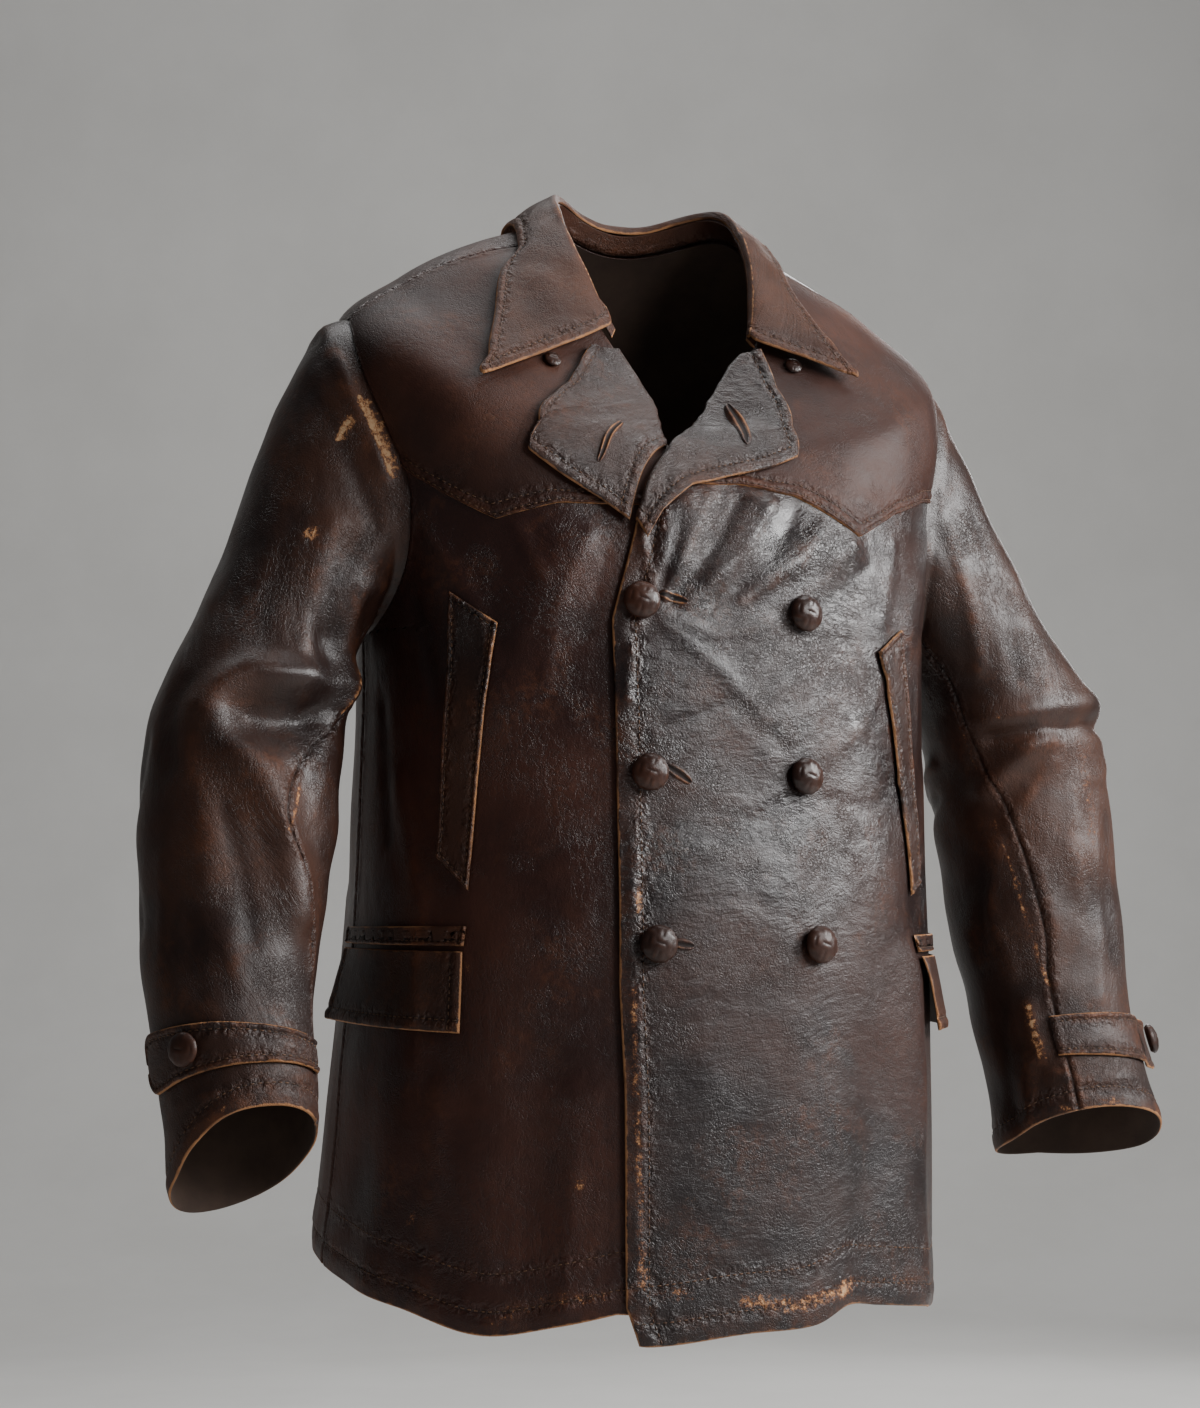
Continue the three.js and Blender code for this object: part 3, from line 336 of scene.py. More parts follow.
TOP_CREASES = folds(
    (3.2, 1.3, (-17, 1.5), (-16, 1.28)),
    (3.4, 1.7, (-12, 1.62), (-13.5, 1.42), (-16, 1.25)),
    (3.0, -1.2, (-8, 1.66), (-11, 1.45), (-14.5, 1.26)),
    (3.6, 1.8, (-2, 1.76), (-8, 1.48), (-13.5, 1.25)),
    (3.4, -1.4, (4, 1.74), (-3, 1.46), (-12, 1.24)),
    (4.0, 1.9, (10, 1.72), (3, 1.46), (-9, 1.22)),
    (4.0, -1.3, (15, 1.68), (9, 1.44), (-4, 1.22)),
    (4.2, 1.6, (20, 1.6), (14, 1.42), (2, 1.24)),
    (5.0, 1.4, (27, 1.5), (20, 1.34), (12, 1.24)),
    (4.5, -1.1, (32, 1.42), (22, 1.26), (17, 1.2)),
    (4.0, 1.0, (-14, 1.18), (-4, 1.1), (8, 1.14)),
    (4.4, 1.2, (-14, 1.14), (-2, 0.98), (6, 0.84)),
    (4.0, -0.8, (-14, 0.82), (0, 0.9), (10, 0.78)),
    (4.0, 0.9, (-12, 0.7), (2, 0.66), (11, 0.7)),
    (5.0, 1.3, (18, 0.76), (28, 0.84), (36, 1.0)),
    (4.4, -0.9, (18, 0.68), (30, 0.66), (40, 0.72)),
    (3.4, 0.8, (-18, 0.6), (-6, 0.58), (8, 0.56)),
    (3.4, -0.6, (-18, 0.5), (0, 0.52), (12, 0.48)),
    (3.6, 0.8, (-10, 0.4), (4, 0.42), (26, 0.4)),
    (3.2, -0.6, (-14, 0.3), (4, 0.33), (20, 0.31)),
    (4.5, 1.3, (-19, 1.12), (-21, 0.9)),
    (4.5, 1.1, (-19, 0.66), (-20.5, 0.5)),
    (4.5, 0.9, (-19.5, 0.4), (-18, 0.2)),
    (6, 1.2, (40, 1.5), (36, 1.2)),
    (8, 1.5, (46, 0.3), (44, 0.02)),
)
BODY_RUBS = folds(
    (4, 0.9, (-19.6, 0.52), (-19.4, 0.49)),
    (4, 0.85, (-28.2, 0.178), (-29.4, 0.172)),
    (4, 0.8, (-60, 0.125), (-61, 0.115)),
    (8, 0.56, (-24, 0.03), (-34, 0.035), (-44, 0.02)),
    (8, 0.74, (0, 0.02), (9, 0.03), (20, 0.025)),
    (7, 0.62, (-18, 0.04), (-10, 0.03)),
    (4.5, 0.66, (-20.5, 0.4), (-19.5, 0.25), (-18, 0.06)),
    (8, 0.5, (22, 0.03), (40, 0.04), (54, 0.05)),
    (12, 0.4, (48, 0.75), (50, 0.55), (50, 0.35)),
    (7, 0.42, (-62, 0.02), (-75, 0.02)),
    (7, 0.4, (140, 0.02), (170, 0.02), (-160, 0.02)),
)
SLEEVE_FOLDS_RIGHT = folds(
    (13, 8, (-58, 1.3), (-26, 1.66), (0, 1.84), (19, 1.96), (34, 2.36), (39, 2.7), (21, 3.18), (5, 3.46),
     (-7, 3.86), (-18, 4.28), (-29, 4.8)),
    (13, -10, (14, 2.64), (-6, 2.5), (-24, 2.2)),
    (16, 6, (150, 2.4), (210, 2.9)),
    (14, -6, (150, 3.1), (215, 3.3)),
)
SLEEVE_FOLDS_LEFT = folds(
    (12, 6.5, (80, 2.2), (46, 2.08), (-6, 1.8), (-40, 1.62)),
    (7, -5, (74, 2.56), (46, 2.42), (-6, 2.14), (-40, 1.96)),
    (10, 6, (-8, 2.3), (-33, 2.7), (-53, 3.12)),
    (16, 6, (150, 2.3), (210, 2.8)),
    (14, -6, (150, 3), (215, 3.2)),
)
SLEEVE_CREASES_RIGHT = folds(
    (13, -6, (22, 3.0), (0, 2.9), (-24, 2.65)),
    (12, -6, (-24, 0.95), (-30, 1.4), (-34, 1.78)),
    (6, 2.6, (-46, 0.7), (-52, 1.2), (-52, 1.7)),
    (6, 3.2, (10, 0.13), (50, 0.12), (90, 0.12), (130, 0.14)),
    (6, -1.4, (0, 0.3), (30, 0.28), (60, 0.3)),
    (6, 2.6, (-36, 0.25), (-26, 0.5), (-38, 0.9)),
    (6, -1.6, (-6, 0.3), (-4, 0.7), (-16, 1.1)),
    (7, 1.8, (14, 0.5), (6, 0.8), (-4, 1.15)),
    (8, -1.4, (34, 0.6), (28, 1.0), (20, 1.4)),
    (4, 1.2, (-52, 1.7), (-30, 1.9), (-14, 2.1)),
    (4, -1.2, (-50, 2.2), (-34, 2.3), (-20, 2.5)),
    (9, -2.2, (60, 2.3), (66, 2.8), (60, 3.4)),
    (9, 1.8, (46, 3.2), (36, 3.8), (30, 4.6)),
    (7, -1.6, (24, 3.9), (12, 4.5), (2, 5.2)),
    (4, 1.2, (-40, 2.9), (-28, 3.2)),
    (4, 1.1, (-40, 3.3), (-30, 3.8)),
    (5, 1.2, (-46, 4.6), (-52, 5.4)),
    (6, 1.2, (20, 5.2), (10, 5.8)),
    (7, -1.4, (44, 4.9), (40, 5.8)),
    (8, 1.6, (60, 4.4), (66, 5.4)),
    (3.5, 1.1, (-40, 7.25), (0, 7.4), (40, 7.35), (80, 7.2)),
    (8, -1.8, (90, 3.0), (110, 3.8), (100, 4.8)),
    (7, 2.4, (160, 1.4), (180, 2.0), (170, 2.6)),
    (6, 2.4, (-90, 2.3), (-120, 2.7), (-140, 3.2)),
    (6, -2.0, (-100, 3.0), (-130, 3.3)),
)
SLEEVE_CREASES_LEFT = folds(
    (6, 1.4, (10, 0.12), (50, 0.12), (90, 0.12)),
    (6, 2.2, (8, 0.24), (-6, 0.5), (-30, 0.9)),
    (6, -1.4, (30, 0.4), (10, 0.8), (-6, 1.2)),
    (7, 1.4, (40, 0.7), (24, 1.1), (10, 1.5)),
    (4, 1.2, (-54, 1.95), (-36, 2.14), (-20, 2.3)),
    (6, 1.4, (60, 3.0), (40, 3.2), (20, 3.2)),
    (5, 1.4, (-6, 2.9), (-22, 3.3), (-40, 3.7)),
    (6, 1.3, (10, 3.4), (0, 4.0), (6, 4.6)),
    (8, -1.5, (40, 3.7), (30, 4.4), (34, 5.2)),
    (5, 1.2, (-24, 4.2), (-16, 4.9), (-22, 5.6)),
    (6, 1.8, (-50, 3.9), (-60, 4.6), (-52, 5.4)),
    (6, -1.6, (-62, 4.2), (-74, 5.0)),
    (6, 1.2, (20, 5.0), (10, 5.8)),
    (5, 2.4, (-46, 5.85), (-45, 6.85)),
    (7, -1.8, (-70, 5.7), (-80, 7.6)),
    (6, 2.2, (-56, 6.9), (-64, 7.8)),
    (3.5, 1.4, (-40, 7.2), (-10, 7.4), (30, 7.3)),
    (7, 2.4, (160, 1.3), (180, 1.9), (170, 2.5)),
    (6, 2.4, (-100, 2.2), (-125, 2.6), (-140, 3.1)),
    (6, -2.0, (-100, 3.0), (-128, 3.3)),
)
SLEEVE_RUBS_RIGHT = folds(
    (6, 1.1, (31.5, 0.2), (31, 0.27)),
    (5, 1.12, (21, 0.6), (22, 0.61)),
    (3.8, 1.08, (34, 0.075), (24, 0.07), (14, 0.07), (6, 0.075)),
    (2.8, 0.8, (-52, 1.1), (-49, 1.9)),
    (2.8, 0.8, (-20, 3.5), (-14, 3.9), (-12, 4.1)),
    (3, 0.55, (-35, 4.7), (-52, 5.3), (-58, 5.9)),
    (7, 0.35, (40, 2.7), (21, 3.2), (5, 3.5)),
    (5, 0.52, (-10, 7.65), (30, 7.6), (60, 7.7)),
)
SLEEVE_RUBS_LEFT = folds(
    (8, 0.56, (19, 2.9), (21, 3.5), (21, 3.96)),
    (5, 0.48, (-10, 1.74), (-40, 1.6)),
    (3.4, 0.76, (-50, 3.6), (-40, 4.3), (-33, 5.0), (-28, 5.6)),
    (3, 0.55, (-62, 1.2), (-58, 2.2), (-54, 3.0)),
    (5, 0.86, (-46, 5.85), (-45, 6.85)),
    (6, 0.4, (10, 0.25), (-20, 0.7)),
    (5, 0.66, (-40, 7.75), (0, 7.7), (50, 7.85)),
)


class BodyForm:
    """The coat's body as a surface of turn round it, in degrees from the front, and level from the hem.

    Each level is a squared ellipse. Its height is one at the front, one at the sides and one at the
    back, and between them it follows the cosine of the turn and that cosine squared.
    """

    def __init__(self) -> None:
        """Places the folds on the plain form."""
        self.common = self._placed(BODY_FOLDS)
        self.pulls = self._placed(TOP_FRONT_FOLDS)
        self.creases = self._placed(BODY_CREASES)
        self.top_creases = self._placed(TOP_CREASES)
        self.rubs = self._placed(BODY_RUBS)

    def _placed(self, plans: tuple[Fold, ...]) -> list[tuple[Fold, Array]]:
        """Pairs each fold with its stops on the plain form."""
        return [(fold, self.plain(*np.array(fold.stops, float).T, False)) for fold in plans]

    def _hem_rise(self, turn: Array, level: Array, over: bool) -> Array:
        """Height that the hem's own line adds, fading out with the square of the level.

        Args:
            turn: Degrees round the body.
            level: Levels from the hem.
            over: True for the front that laps over.

        Returns:
            Millimetres up.
        """
        side = np.where(turn > 180, turn - 360, turn)
        left = curve_through(HEM_LEFT, np.clip(side, HEM_LEFT[0][0], HEM_LEFT[-1][0]))[..., 0]
        right = curve_through(HEM_RIGHT, np.clip(side, HEM_RIGHT[0][0], HEM_RIGHT[-1][0]))[..., 0]
        rise = left if over else np.where(side > 0, left, right)
        return rise * np.clip(1 - level / HEM_FADE, 0, None) ** 2

    def plain(self, turn: Array, level: Array, over: bool) -> Array:
        """Points of the form before its folds.

        Args:
            turn: Degrees round the body.
            level: Levels from the hem.
            over: True for the front that laps over.

        Returns:
            The points.
        """
        turn, level = np.broadcast_arrays(np.asarray(turn, float), np.asarray(level, float))
        ring = np.moveaxis(curve_through(BODY_RINGS, level), -1, 0)
        half, middle, front, back, z_front, z_side, z_back, square, lean = ring
        cos, sin = np.cos(np.radians(turn)), np.sin(np.radians(turn))
        reach = squared_reach(cos, sin, square)
        depth = np.where(cos > 0, middle + front, back - middle)
        height = z_side + (z_front - z_back) / 2 * cos + ((z_front + z_back) / 2 - z_side) * cos**2
        height = height + self._hem_rise(turn, level, over)
        return np.stack([lean + half * reach * sin, middle - depth * reach * cos, height], -1)

    def normal(self, turn: Array, level: Array, over: bool) -> Array:
        """Outward normals of the plain form, from points a little to each side.

        Args:
            turn: Degrees round the body.
            level: Levels from the hem.
            over: True for the front that laps over.

        Returns:
            The normals.
        """
        round_it = self.plain(turn + 0.2, level, over) - self.plain(turn - 0.2, level, over)
        upward = self.plain(turn, level + 0.005, over) - self.plain(turn, level - 0.005, over)
        return unit(np.cross(round_it, upward))

    def lay(self, turn: Array, level: Array, lift: Array | float, over: bool) -> Laid:
        """Lays points on the folded form.

        Args:
            turn: Degrees round the body.
            level: Levels from the hem.
            lift: Millimetres out from the form.
            over: True for the front that laps over, which has its own hem and pulls.

        Returns:
            The laid grid.
        """
        turn, level = np.broadcast_arrays(np.asarray(turn, float), np.asarray(level, float))
        base, normal = self.plain(turn, level, over), self.normal(turn, level, over)
        height = fold_height(base, self.common) + (fold_height(base, self.pulls) if over else 0)
        crease = fold_height(base, self.top_creases if over else self.creases)
        if over:
            crease = crease + fold_height(base, self.creases) * smooth(turn, 40, 60)
        crease = crease + unevenness(base, 5, 0.55, 70)
        out = np.asarray(lift + height + crease)[..., None]
        return Laid(base + normal * out, normal, crease, fold_height(base, self.rubs))


def overlap_lift(turn: Array) -> Array:
    """How far the buttoned front stands over the one beneath, by turn."""
    return TOP_FRONT_LIFT * (1 - smooth(turn, *OVERLAP_ENDS))


def panel_lift(turn: Array, level: Array) -> Array:
    """How far out the leather's face is, for pieces that lie on it."""
    over = np.where((turn > 0) & (turn < 180), overlap_lift(turn), 0)
    return over + np.where((level > 1.9) & (np.abs(turn) < 90), YOKE_STEP, 0)


def armhole_turn(level: Array, towards_back: bool) -> Array:
    """Turn of the armhole's edge at a level, which is half an ellipse between its foot and its top.

    Args:
        level: Levels from the hem.
        towards_back: True for the back's edge, else the front's.

    Returns:
        Degrees round the body.
    """
    off = (level - ARMHOLE_LEVEL) / ARMHOLE_RISE
    half = ARMHOLE_TURN * np.sqrt(np.clip(1 - off**2, 0, 1))
    side = np.maximum(SIDE_SEAM + half, 90) if towards_back else np.minimum(SIDE_SEAM - half, 90)
    return np.where(off < -1, SIDE_SEAM, np.where(off > 1, 90, side))


class Edge(Enum):
    """How a side of a leather piece ends."""

    FREE = "turned, stitched and rubbed pale"
    SEAM = "sewn to its neighbour"
    TUCKED = "runs on out of sight"


@dataclass(frozen=True)
class Side:
    """One side of a piece: how it ends, how far in its stitch lines run, and how high they pucker."""

    edge: Edge = Edge.TUCKED
    stitches: tuple[float, ...] = ()
    pucker: float = 0.3


@dataclass(frozen=True)
class Sides:
    """The four sides of a grid: its first and last columns, and its first and last rows."""

    left: Side = Side()
    right: Side = Side()
    bottom: Side = Side()
    top: Side = Side()


FINE = (0.0, 0.3, 0.7, 1.2, 1.9, 2.8, 4.0, 5.2, 6.4, 7.6, 8.8, 10.0, 11.4, 12.8, 14.2, 15.6, 17.2, 19.0)


def places(length: float, step: float, start: float = 10, end: float = 10) -> Array:
    """Shares of a length for a grid's lines: even steps, closer together near both ends.

    Args:
        length: The length in millimetres.
        step: The even step.
        start: How far the closer lines go at the start.
        end: The same at the end.

    Returns:
        Shares from 0 to 1.
    """
    low = np.array([x for x in FINE if x <= start])
    high = length - np.array([x for x in FINE if x <= end])[::-1]
    count = max(2, round((high[0] - low[-1]) / step) + 1)
    return np.concatenate([low, np.linspace(low[-1], high[0], count)[1:-1], high]) / length


def lengths_along(points: Array, axis: int) -> tuple[Array, Array]:
    """Distances along a grid's lines from their first point and to their last.

    Args:
        points: The grid.
        axis: 0 to go up its columns, 1 along its rows.

    Returns:
        Both distances at each point.
    """
    steps = np.linalg.norm(np.diff(points, axis=axis), axis=-1)
    start = np.zeros_like(np.take(steps, [0], axis=axis))
    run = np.concatenate([start, np.cumsum(steps, axis=axis)], axis=axis)
    return run, np.take(run, [-1], axis=axis) - run


def make_mesh(name: str, points: Array, faces: Array, materials: list[bpy.types.Material],
              face_materials: Array | None = None) -> bpy.types.Object:
    """Makes a smooth mesh object of faces with four corners.

    Args:
        name: The object's name.
        points: One row a vertex, in millimetres.
        faces: Four vertices a row.
        materials: Its materials.
        face_materials: Which of them each face has, if not the first.

    Returns:
        The object.
    """
    mesh = bpy.data.meshes.new(name)
    mesh.vertices.add(len(points))
    mesh.vertices.foreach_set("co", (points * MM).astype(np.float32).ravel())
    mesh.loops.add(faces.size)
    mesh.loops.foreach_set("vertex_index", faces.astype(np.int32).ravel())
    mesh.polygons.add(len(faces))
    mesh.polygons.foreach_set("loop_start", np.arange(0, faces.size, faces.shape[1], dtype=np.int32))
    for material in materials:
        mesh.materials.append(material)
    if face_materials is not None:
        mesh.polygons.foreach_set("material_index", face_materials.astype(np.int32))
    mesh.update(calc_edges=True)
    mesh.polygons.foreach_set("use_smooth", np.ones(len(faces), bool))
    made = bpy.data.objects.new(name, mesh)
    bpy.context.scene.collection.objects.link(made)
    return made


def grid_faces(rows: int, columns: int, offset: int = 0, turned: bool = False) -> Array:
    """Faces of a grid of points, row after row.

    Args:
        rows: How many rows of points.
        columns: How many points a row.
        offset: Number of the first point.
        turned: True to face the other way.

    Returns:
        Four corners a row.
    """
    at = offset + np.arange(rows * columns).reshape(rows, columns)
    corners = [at[:-1, :-1], at[:-1, 1:], at[1:, 1:], at[1:, :-1]]
    faces = np.stack([c.ravel() for c in corners], -1)
    return faces[:, ::-1] if turned else faces


def rim_faces(rows: int, columns: int) -> Array:
    """Faces that join the four edges of two stacked grids.

    Args:
        rows: How many rows of points each has.
        columns: How many points a row.

    Returns:
        Four corners a row.
    """
    at = np.arange(rows * columns).reshape(rows, columns)
    loop = np.concatenate([at[0, :-1], at[:-1, -1], at[-1, :0:-1], at[:0:-1, 0]])
    after, count = np.roll(loop, -1), rows * columns
    return np.stack([loop, count + loop, count + after, after], -1)


def weld(mesh: bpy.types.Mesh, distance: float) -> None:
    """Merges vertices that lie close together, which closes seams and poles.

    Args:
        mesh: The mesh.
        distance: How close, in millimetres.
    """
    work = bmesh.new()
    work.from_mesh(mesh)
    bmesh.ops.remove_doubles(work, verts=work.verts, dist=distance * MM)
    work.to_mesh(mesh)
    work.free()


def set_value(mesh: bpy.types.Mesh, name: str, values: Array) -> None:
    """Stores one number a vertex, for the materials."""
    attribute = mesh.attributes.new(name, "FLOAT", "POINT")
    attribute.data.foreach_set("value", values.astype(np.float32).ravel())


def at_inset(points: Array, normals: Array, distance: Array, inset: float,
             axis: int) -> tuple[Array, Array]:
    """A line that keeps one distance from a side of a grid.

    Each of the grid's lines across that side is cut between the two points whose distances from the
    side lie around the inset.

    Args:
        points: The grid, with the side at its start.
        normals: The leather's normals there.
        distance: Distance of each point from the side.
        inset: The distance to keep.
        axis: The axis that leads away from the side.

    Returns:
        Points and normals of the line.
    """
    index = np.clip((distance < inset).sum(axis=axis, keepdims=True), 1, points.shape[axis] - 1)
    near, far = (np.take_along_axis(distance, index - k, axis) for k in (1, 0))
    share = np.clip((inset - near) / np.maximum(far - near, 1e-6), 0, 1)[..., None]
    both = []
    for values in (points, normals):
        a, b = (np.take_along_axis(values, (index - k)[..., None], axis) for k in (1, 0))
        both.append(np.squeeze(a * (1 - share) + b * share, axis=axis))
    return both[0], unit(both[1])


@dataclass
class Stitching:
    """Thread along lines on the leather: a row of short capsules, half sunk."""

    length: float = 3.0
    gap: float = 1.5
    radius: float = 0.42
    points: list[Array] = field(default_factory=list)

    def run(self, line: Array, normals: Array) -> None:
        """Sews along a line.

        Args:
            line: Points of the line.
            normals: The leather's normals there.
        """
        steps = np.linalg.norm(np.diff(line, axis=0), axis=1)
        travelled = np.concatenate([[0], np.cumsum(steps)])
        pitch = self.length + self.gap
        count = int((travelled[-1] - pitch) // pitch)
        if count < 1:
            return
        middle = pitch * (np.arange(count) + 0.9)
        here = self._read(line, travelled, middle)
        before, after = (self._read(line, travelled, middle + step) for step in (-0.6, 0.6))
        ahead = unit(after - before)
        up = unit(self._read(normals, travelled, middle))
        across = unit(np.cross(up, ahead))
        ring = np.linspace(0, 2 * np.pi, 6, endpoint=False)
        ends = np.array([-0.5, -0.36, 0.0, 0.36, 0.5]) * self.length
        sizes = np.array([0.25, 0.9, 1.0, 0.9, 0.25]) * self.radius
        sink = np.array([-0.4, 0.0, 0.12, 0.0, -0.4])
        rings = here[:, None, None] + ends[None, :, None, None] * ahead[:, None, None]
        rings = rings + (sizes[:, None] * np.cos(ring))[None, ..., None] * across[:, None, None]
        lift = (sizes[:, None] * np.sin(ring)) + sink[:, None]
        self.points.append(rings + lift[None, ..., None] * up[:, None, None])

    @staticmethod
    def _read(values: Array, travelled: Array, at: Array) -> Array:
        """Values at lengths along a line."""
        return np.stack([np.interp(at, travelled, values[:, k]) for k in range(3)], -1)

    def build(self, name: str, material: bpy.types.Material) -> bpy.types.Object | None:
        """Makes one mesh of all stitches.

        Args:
            name: The mesh's name.
            material: The thread's material.

        Returns:
            The thread, or None without stitches.
        """
        if not self.points:
            return None
        made = np.concatenate(self.points)
        count, rings, around = made.shape[:3]
        base = np.arange(rings * around).reshape(rings, around)
        turned = np.roll(base, -1, axis=1)
        quads = np.stack([base[:-1], turned[:-1], turned[1:], base[1:]], -1).reshape(-1, 4)
        caps = np.array([[5, 4, 1, 0], [4, 3, 2, 1]])
        last = (rings - 1) * around
        quads = np.concatenate([quads, caps, (caps + last)[:, ::-1]])
        faces = (quads[None] + (np.arange(count) * rings * around)[:, None, None]).reshape(-1, 4)
        thread = make_mesh(name, made.reshape(-1, 3), faces, [material])
        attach(thread, "root")
        return thread


class Held(Enum):
    """What gives a piece its shape."""

    HUNG = "hung"
    LAID = "laid"
    FOLDED = "folded"


@dataclass(frozen=True)
class Working:
    """How edges, seams and the needle shape the leather, in millimetres and shares of its thickness."""

    roll: float = 1.3
    roll_out: float = 0.62
    roll_in: float = 0.33
    seam_depth: float = 0.9
    seam_width: float = 1.4
    swell_height: float = 0.35
    swell_inset: float = 4.0
    swell_width: float = 2.2
    groove_depth: float = 0.6
    groove_width: float = 1.3
    pucker_width: float = 5.5


@dataclass
class LeatherPiece:
    """One cut piece of leather with two faces, rolled edges, stitch grooves and puckers.

    Near a free side both faces curve to meet as quarter circles. A stitch line is a bell-shaped
    groove, the leather between it and the edge is a little fuller, and along it the face swells and
    sinks as two sine waves. A seam is a narrow groove.
    """

    name: str
    laid: Laid
    sides: Sides
    leather: bpy.types.Material
    lining: bpy.types.Material
    replaces: tuple[str, ...]
    slot: str
    held: Held
    rests_on: tuple[str, ...] = ()
    thickness: float = LEATHER
    fullness: float = 0.7
    working: Working = Working()

    def _relief(self) -> tuple[Array, Array, Array, Array, dict[str, Array]]:
        """Works out how the edges and the needle shape both faces.

        Returns:
            Height of the outer and the inner face, distance to free edges and to seams, and to each side.
        """
        from_left, from_right = lengths_along(self.laid.points, 1)
        from_bottom, from_top = lengths_along(self.laid.points, 0)
        outer, inner = np.zeros_like(from_left), np.zeros_like(from_left)
        edge, seam = np.full(outer.shape, FAR_OFF), np.full(outer.shape, FAR_OFF)
        runs = {
            "left": (self.sides.left, from_left, from_bottom),
            "right": (self.sides.right, from_right, from_bottom),
            "bottom": (self.sides.bottom, from_bottom, from_left),
            "top": (self.sides.top, from_top, from_left),
        }
        shape = self.working
        for side, distance, along in runs.values():
            if side.edge is Edge.FREE:
                near = np.clip(1 - distance / shape.roll, 0, 1)
                round_off = 1 - np.sqrt(1 - near**2)
                outer -= shape.roll_out * self.thickness * round_off
                inner += shape.roll_in * self.thickness * round_off
                edge = np.minimum(edge, distance)
            elif side.edge is Edge.SEAM:
                outer -= shape.seam_depth * bell(distance, shape.seam_width)
                outer += shape.swell_height * bell(distance - shape.swell_inset, shape.swell_width)
                seam = np.minimum(seam, distance)
            for inset in side.stitches:
                past = distance - inset
                groove = bell(past, shape.groove_width)
                full = bell(distance - inset * 0.5, max(inset * 0.3, 1))
                wave = self._pucker_wave(along, distance) * bell(past, shape.pucker_width)
                outer += self.fullness * full - shape.groove_depth * groove
                outer += side.pucker * wave * (1 - 0.7 * groove)
                seam = np.minimum(seam, np.abs(past))
        distances = {key: run[1] for key, run in runs.items()}
        return outer, inner, edge, seam, distances

    @staticmethod
    def _pucker_wave(along: Array, distance: Array) -> Array:
        """Swells along a stitch line: two sine waves, the first uneven, that grow and fade in turn."""
        wave = np.sin(along / 2.1 + 1.6 * np.sin(along / 11)) + 0.8 * np.sin(along / 5.3 + distance / 6)
        return wave * (0.6 + 0.4 * np.sin(along / 31))

    def build(self, stitches: bpy.types.Material) -> bpy.types.Object:
        """Args:
            stitches: The thread's material.

        Returns:
            The piece.
        """
        outer, inner, edge, seam, distances = self._relief()
        points, upright = self.laid.points, self.laid.normals
        face = points + upright * outer[..., None]
        back = points - upright * (self.thickness - inner)[..., None]
        rows, columns = outer.shape
        count = rows * columns
        faces = np.concatenate([
            grid_faces(rows, columns), grid_faces(rows, columns, count, True), rim_faces(rows, columns)
        ])
        corner = points[rows // 2, columns // 2]
        around = points[rows // 2, columns // 2 + 1] - corner
        upward = points[rows // 2 + 1, columns // 2] - corner
        if np.dot(np.cross(around, upward), upright[rows // 2, columns // 2]) < 0:
            faces = faces[:, ::-1]
        kinds, each = np.zeros(len(faces)), (rows - 1) * (columns - 1)
        kinds[each: 2 * each] = 1
        both = np.concatenate([face.reshape(-1, 3), back.reshape(-1, 3)])
        piece = make_mesh(self.name, both, faces, [self.leather, self.lining], kinds)
        across, along = distances["left"], distances["bottom"]
        values_of = {"edge": edge, "seam": seam, "ridge": self.laid.crease + outer, "rub": self.laid.rub}
        for key, values in values_of.items():
            set_value(piece.data, key, np.tile(values.ravel(), 2))
        uv = np.tile(np.stack([across, along], -1).reshape(-1, 2) * MM, (2, 1))
        layer = piece.data.uv_layers.new(name="UVMap")
        layer.data.foreach_set("uv", uv[faces.ravel()].astype(np.float32).ravel())
        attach(piece, "root")
        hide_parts(*self.replaces)
        thread = self._sew(face, distances, stitches)
        size = (float(across[:, -1].max()) * MM, float(along[-1].max()) * MM)
        diagonals = points[1:, 1:] - points[:-1, :-1], points[1:, :-1] - points[:-1, 1:]
        area = 0.5 * np.linalg.norm(np.cross(*diagonals), axis=-1).sum() * MM * MM
        area = float(min(max(area, 0.31 * size[0] * size[1]), size[0] * size[1]))
        log.info("%s: %d faces, cut %.0f by %.0f mm", self.name, len(faces), size[0] / MM, size[1] / MM)
        return piece

    def _sew(self, face: Array, distances: dict[str, Array],
             material: bpy.types.Material) -> bpy.types.Object | None:
        """Sews along every stitch line of the piece.

        Args:
            face: The outer face.
            distances: Distance of each point from each side.
            material: The thread's material.

        Returns:
            The thread, or None without stitch lines.
        """
        thread = Stitching()
        for key, axis in (("left", 1), ("right", 1), ("bottom", 0), ("top", 0)):
            side: Side = getattr(self.sides, key)
            distance = distances[key]
            grids = [face, self.laid.normals, distance]
            if key in ("right", "top"):
                grids = [np.flip(grid, axis) for grid in grids]
            for inset in side.stitches:
                thread.run(*at_inset(*grids, inset, axis))
        return thread.build(self.name + "_stitches", material)


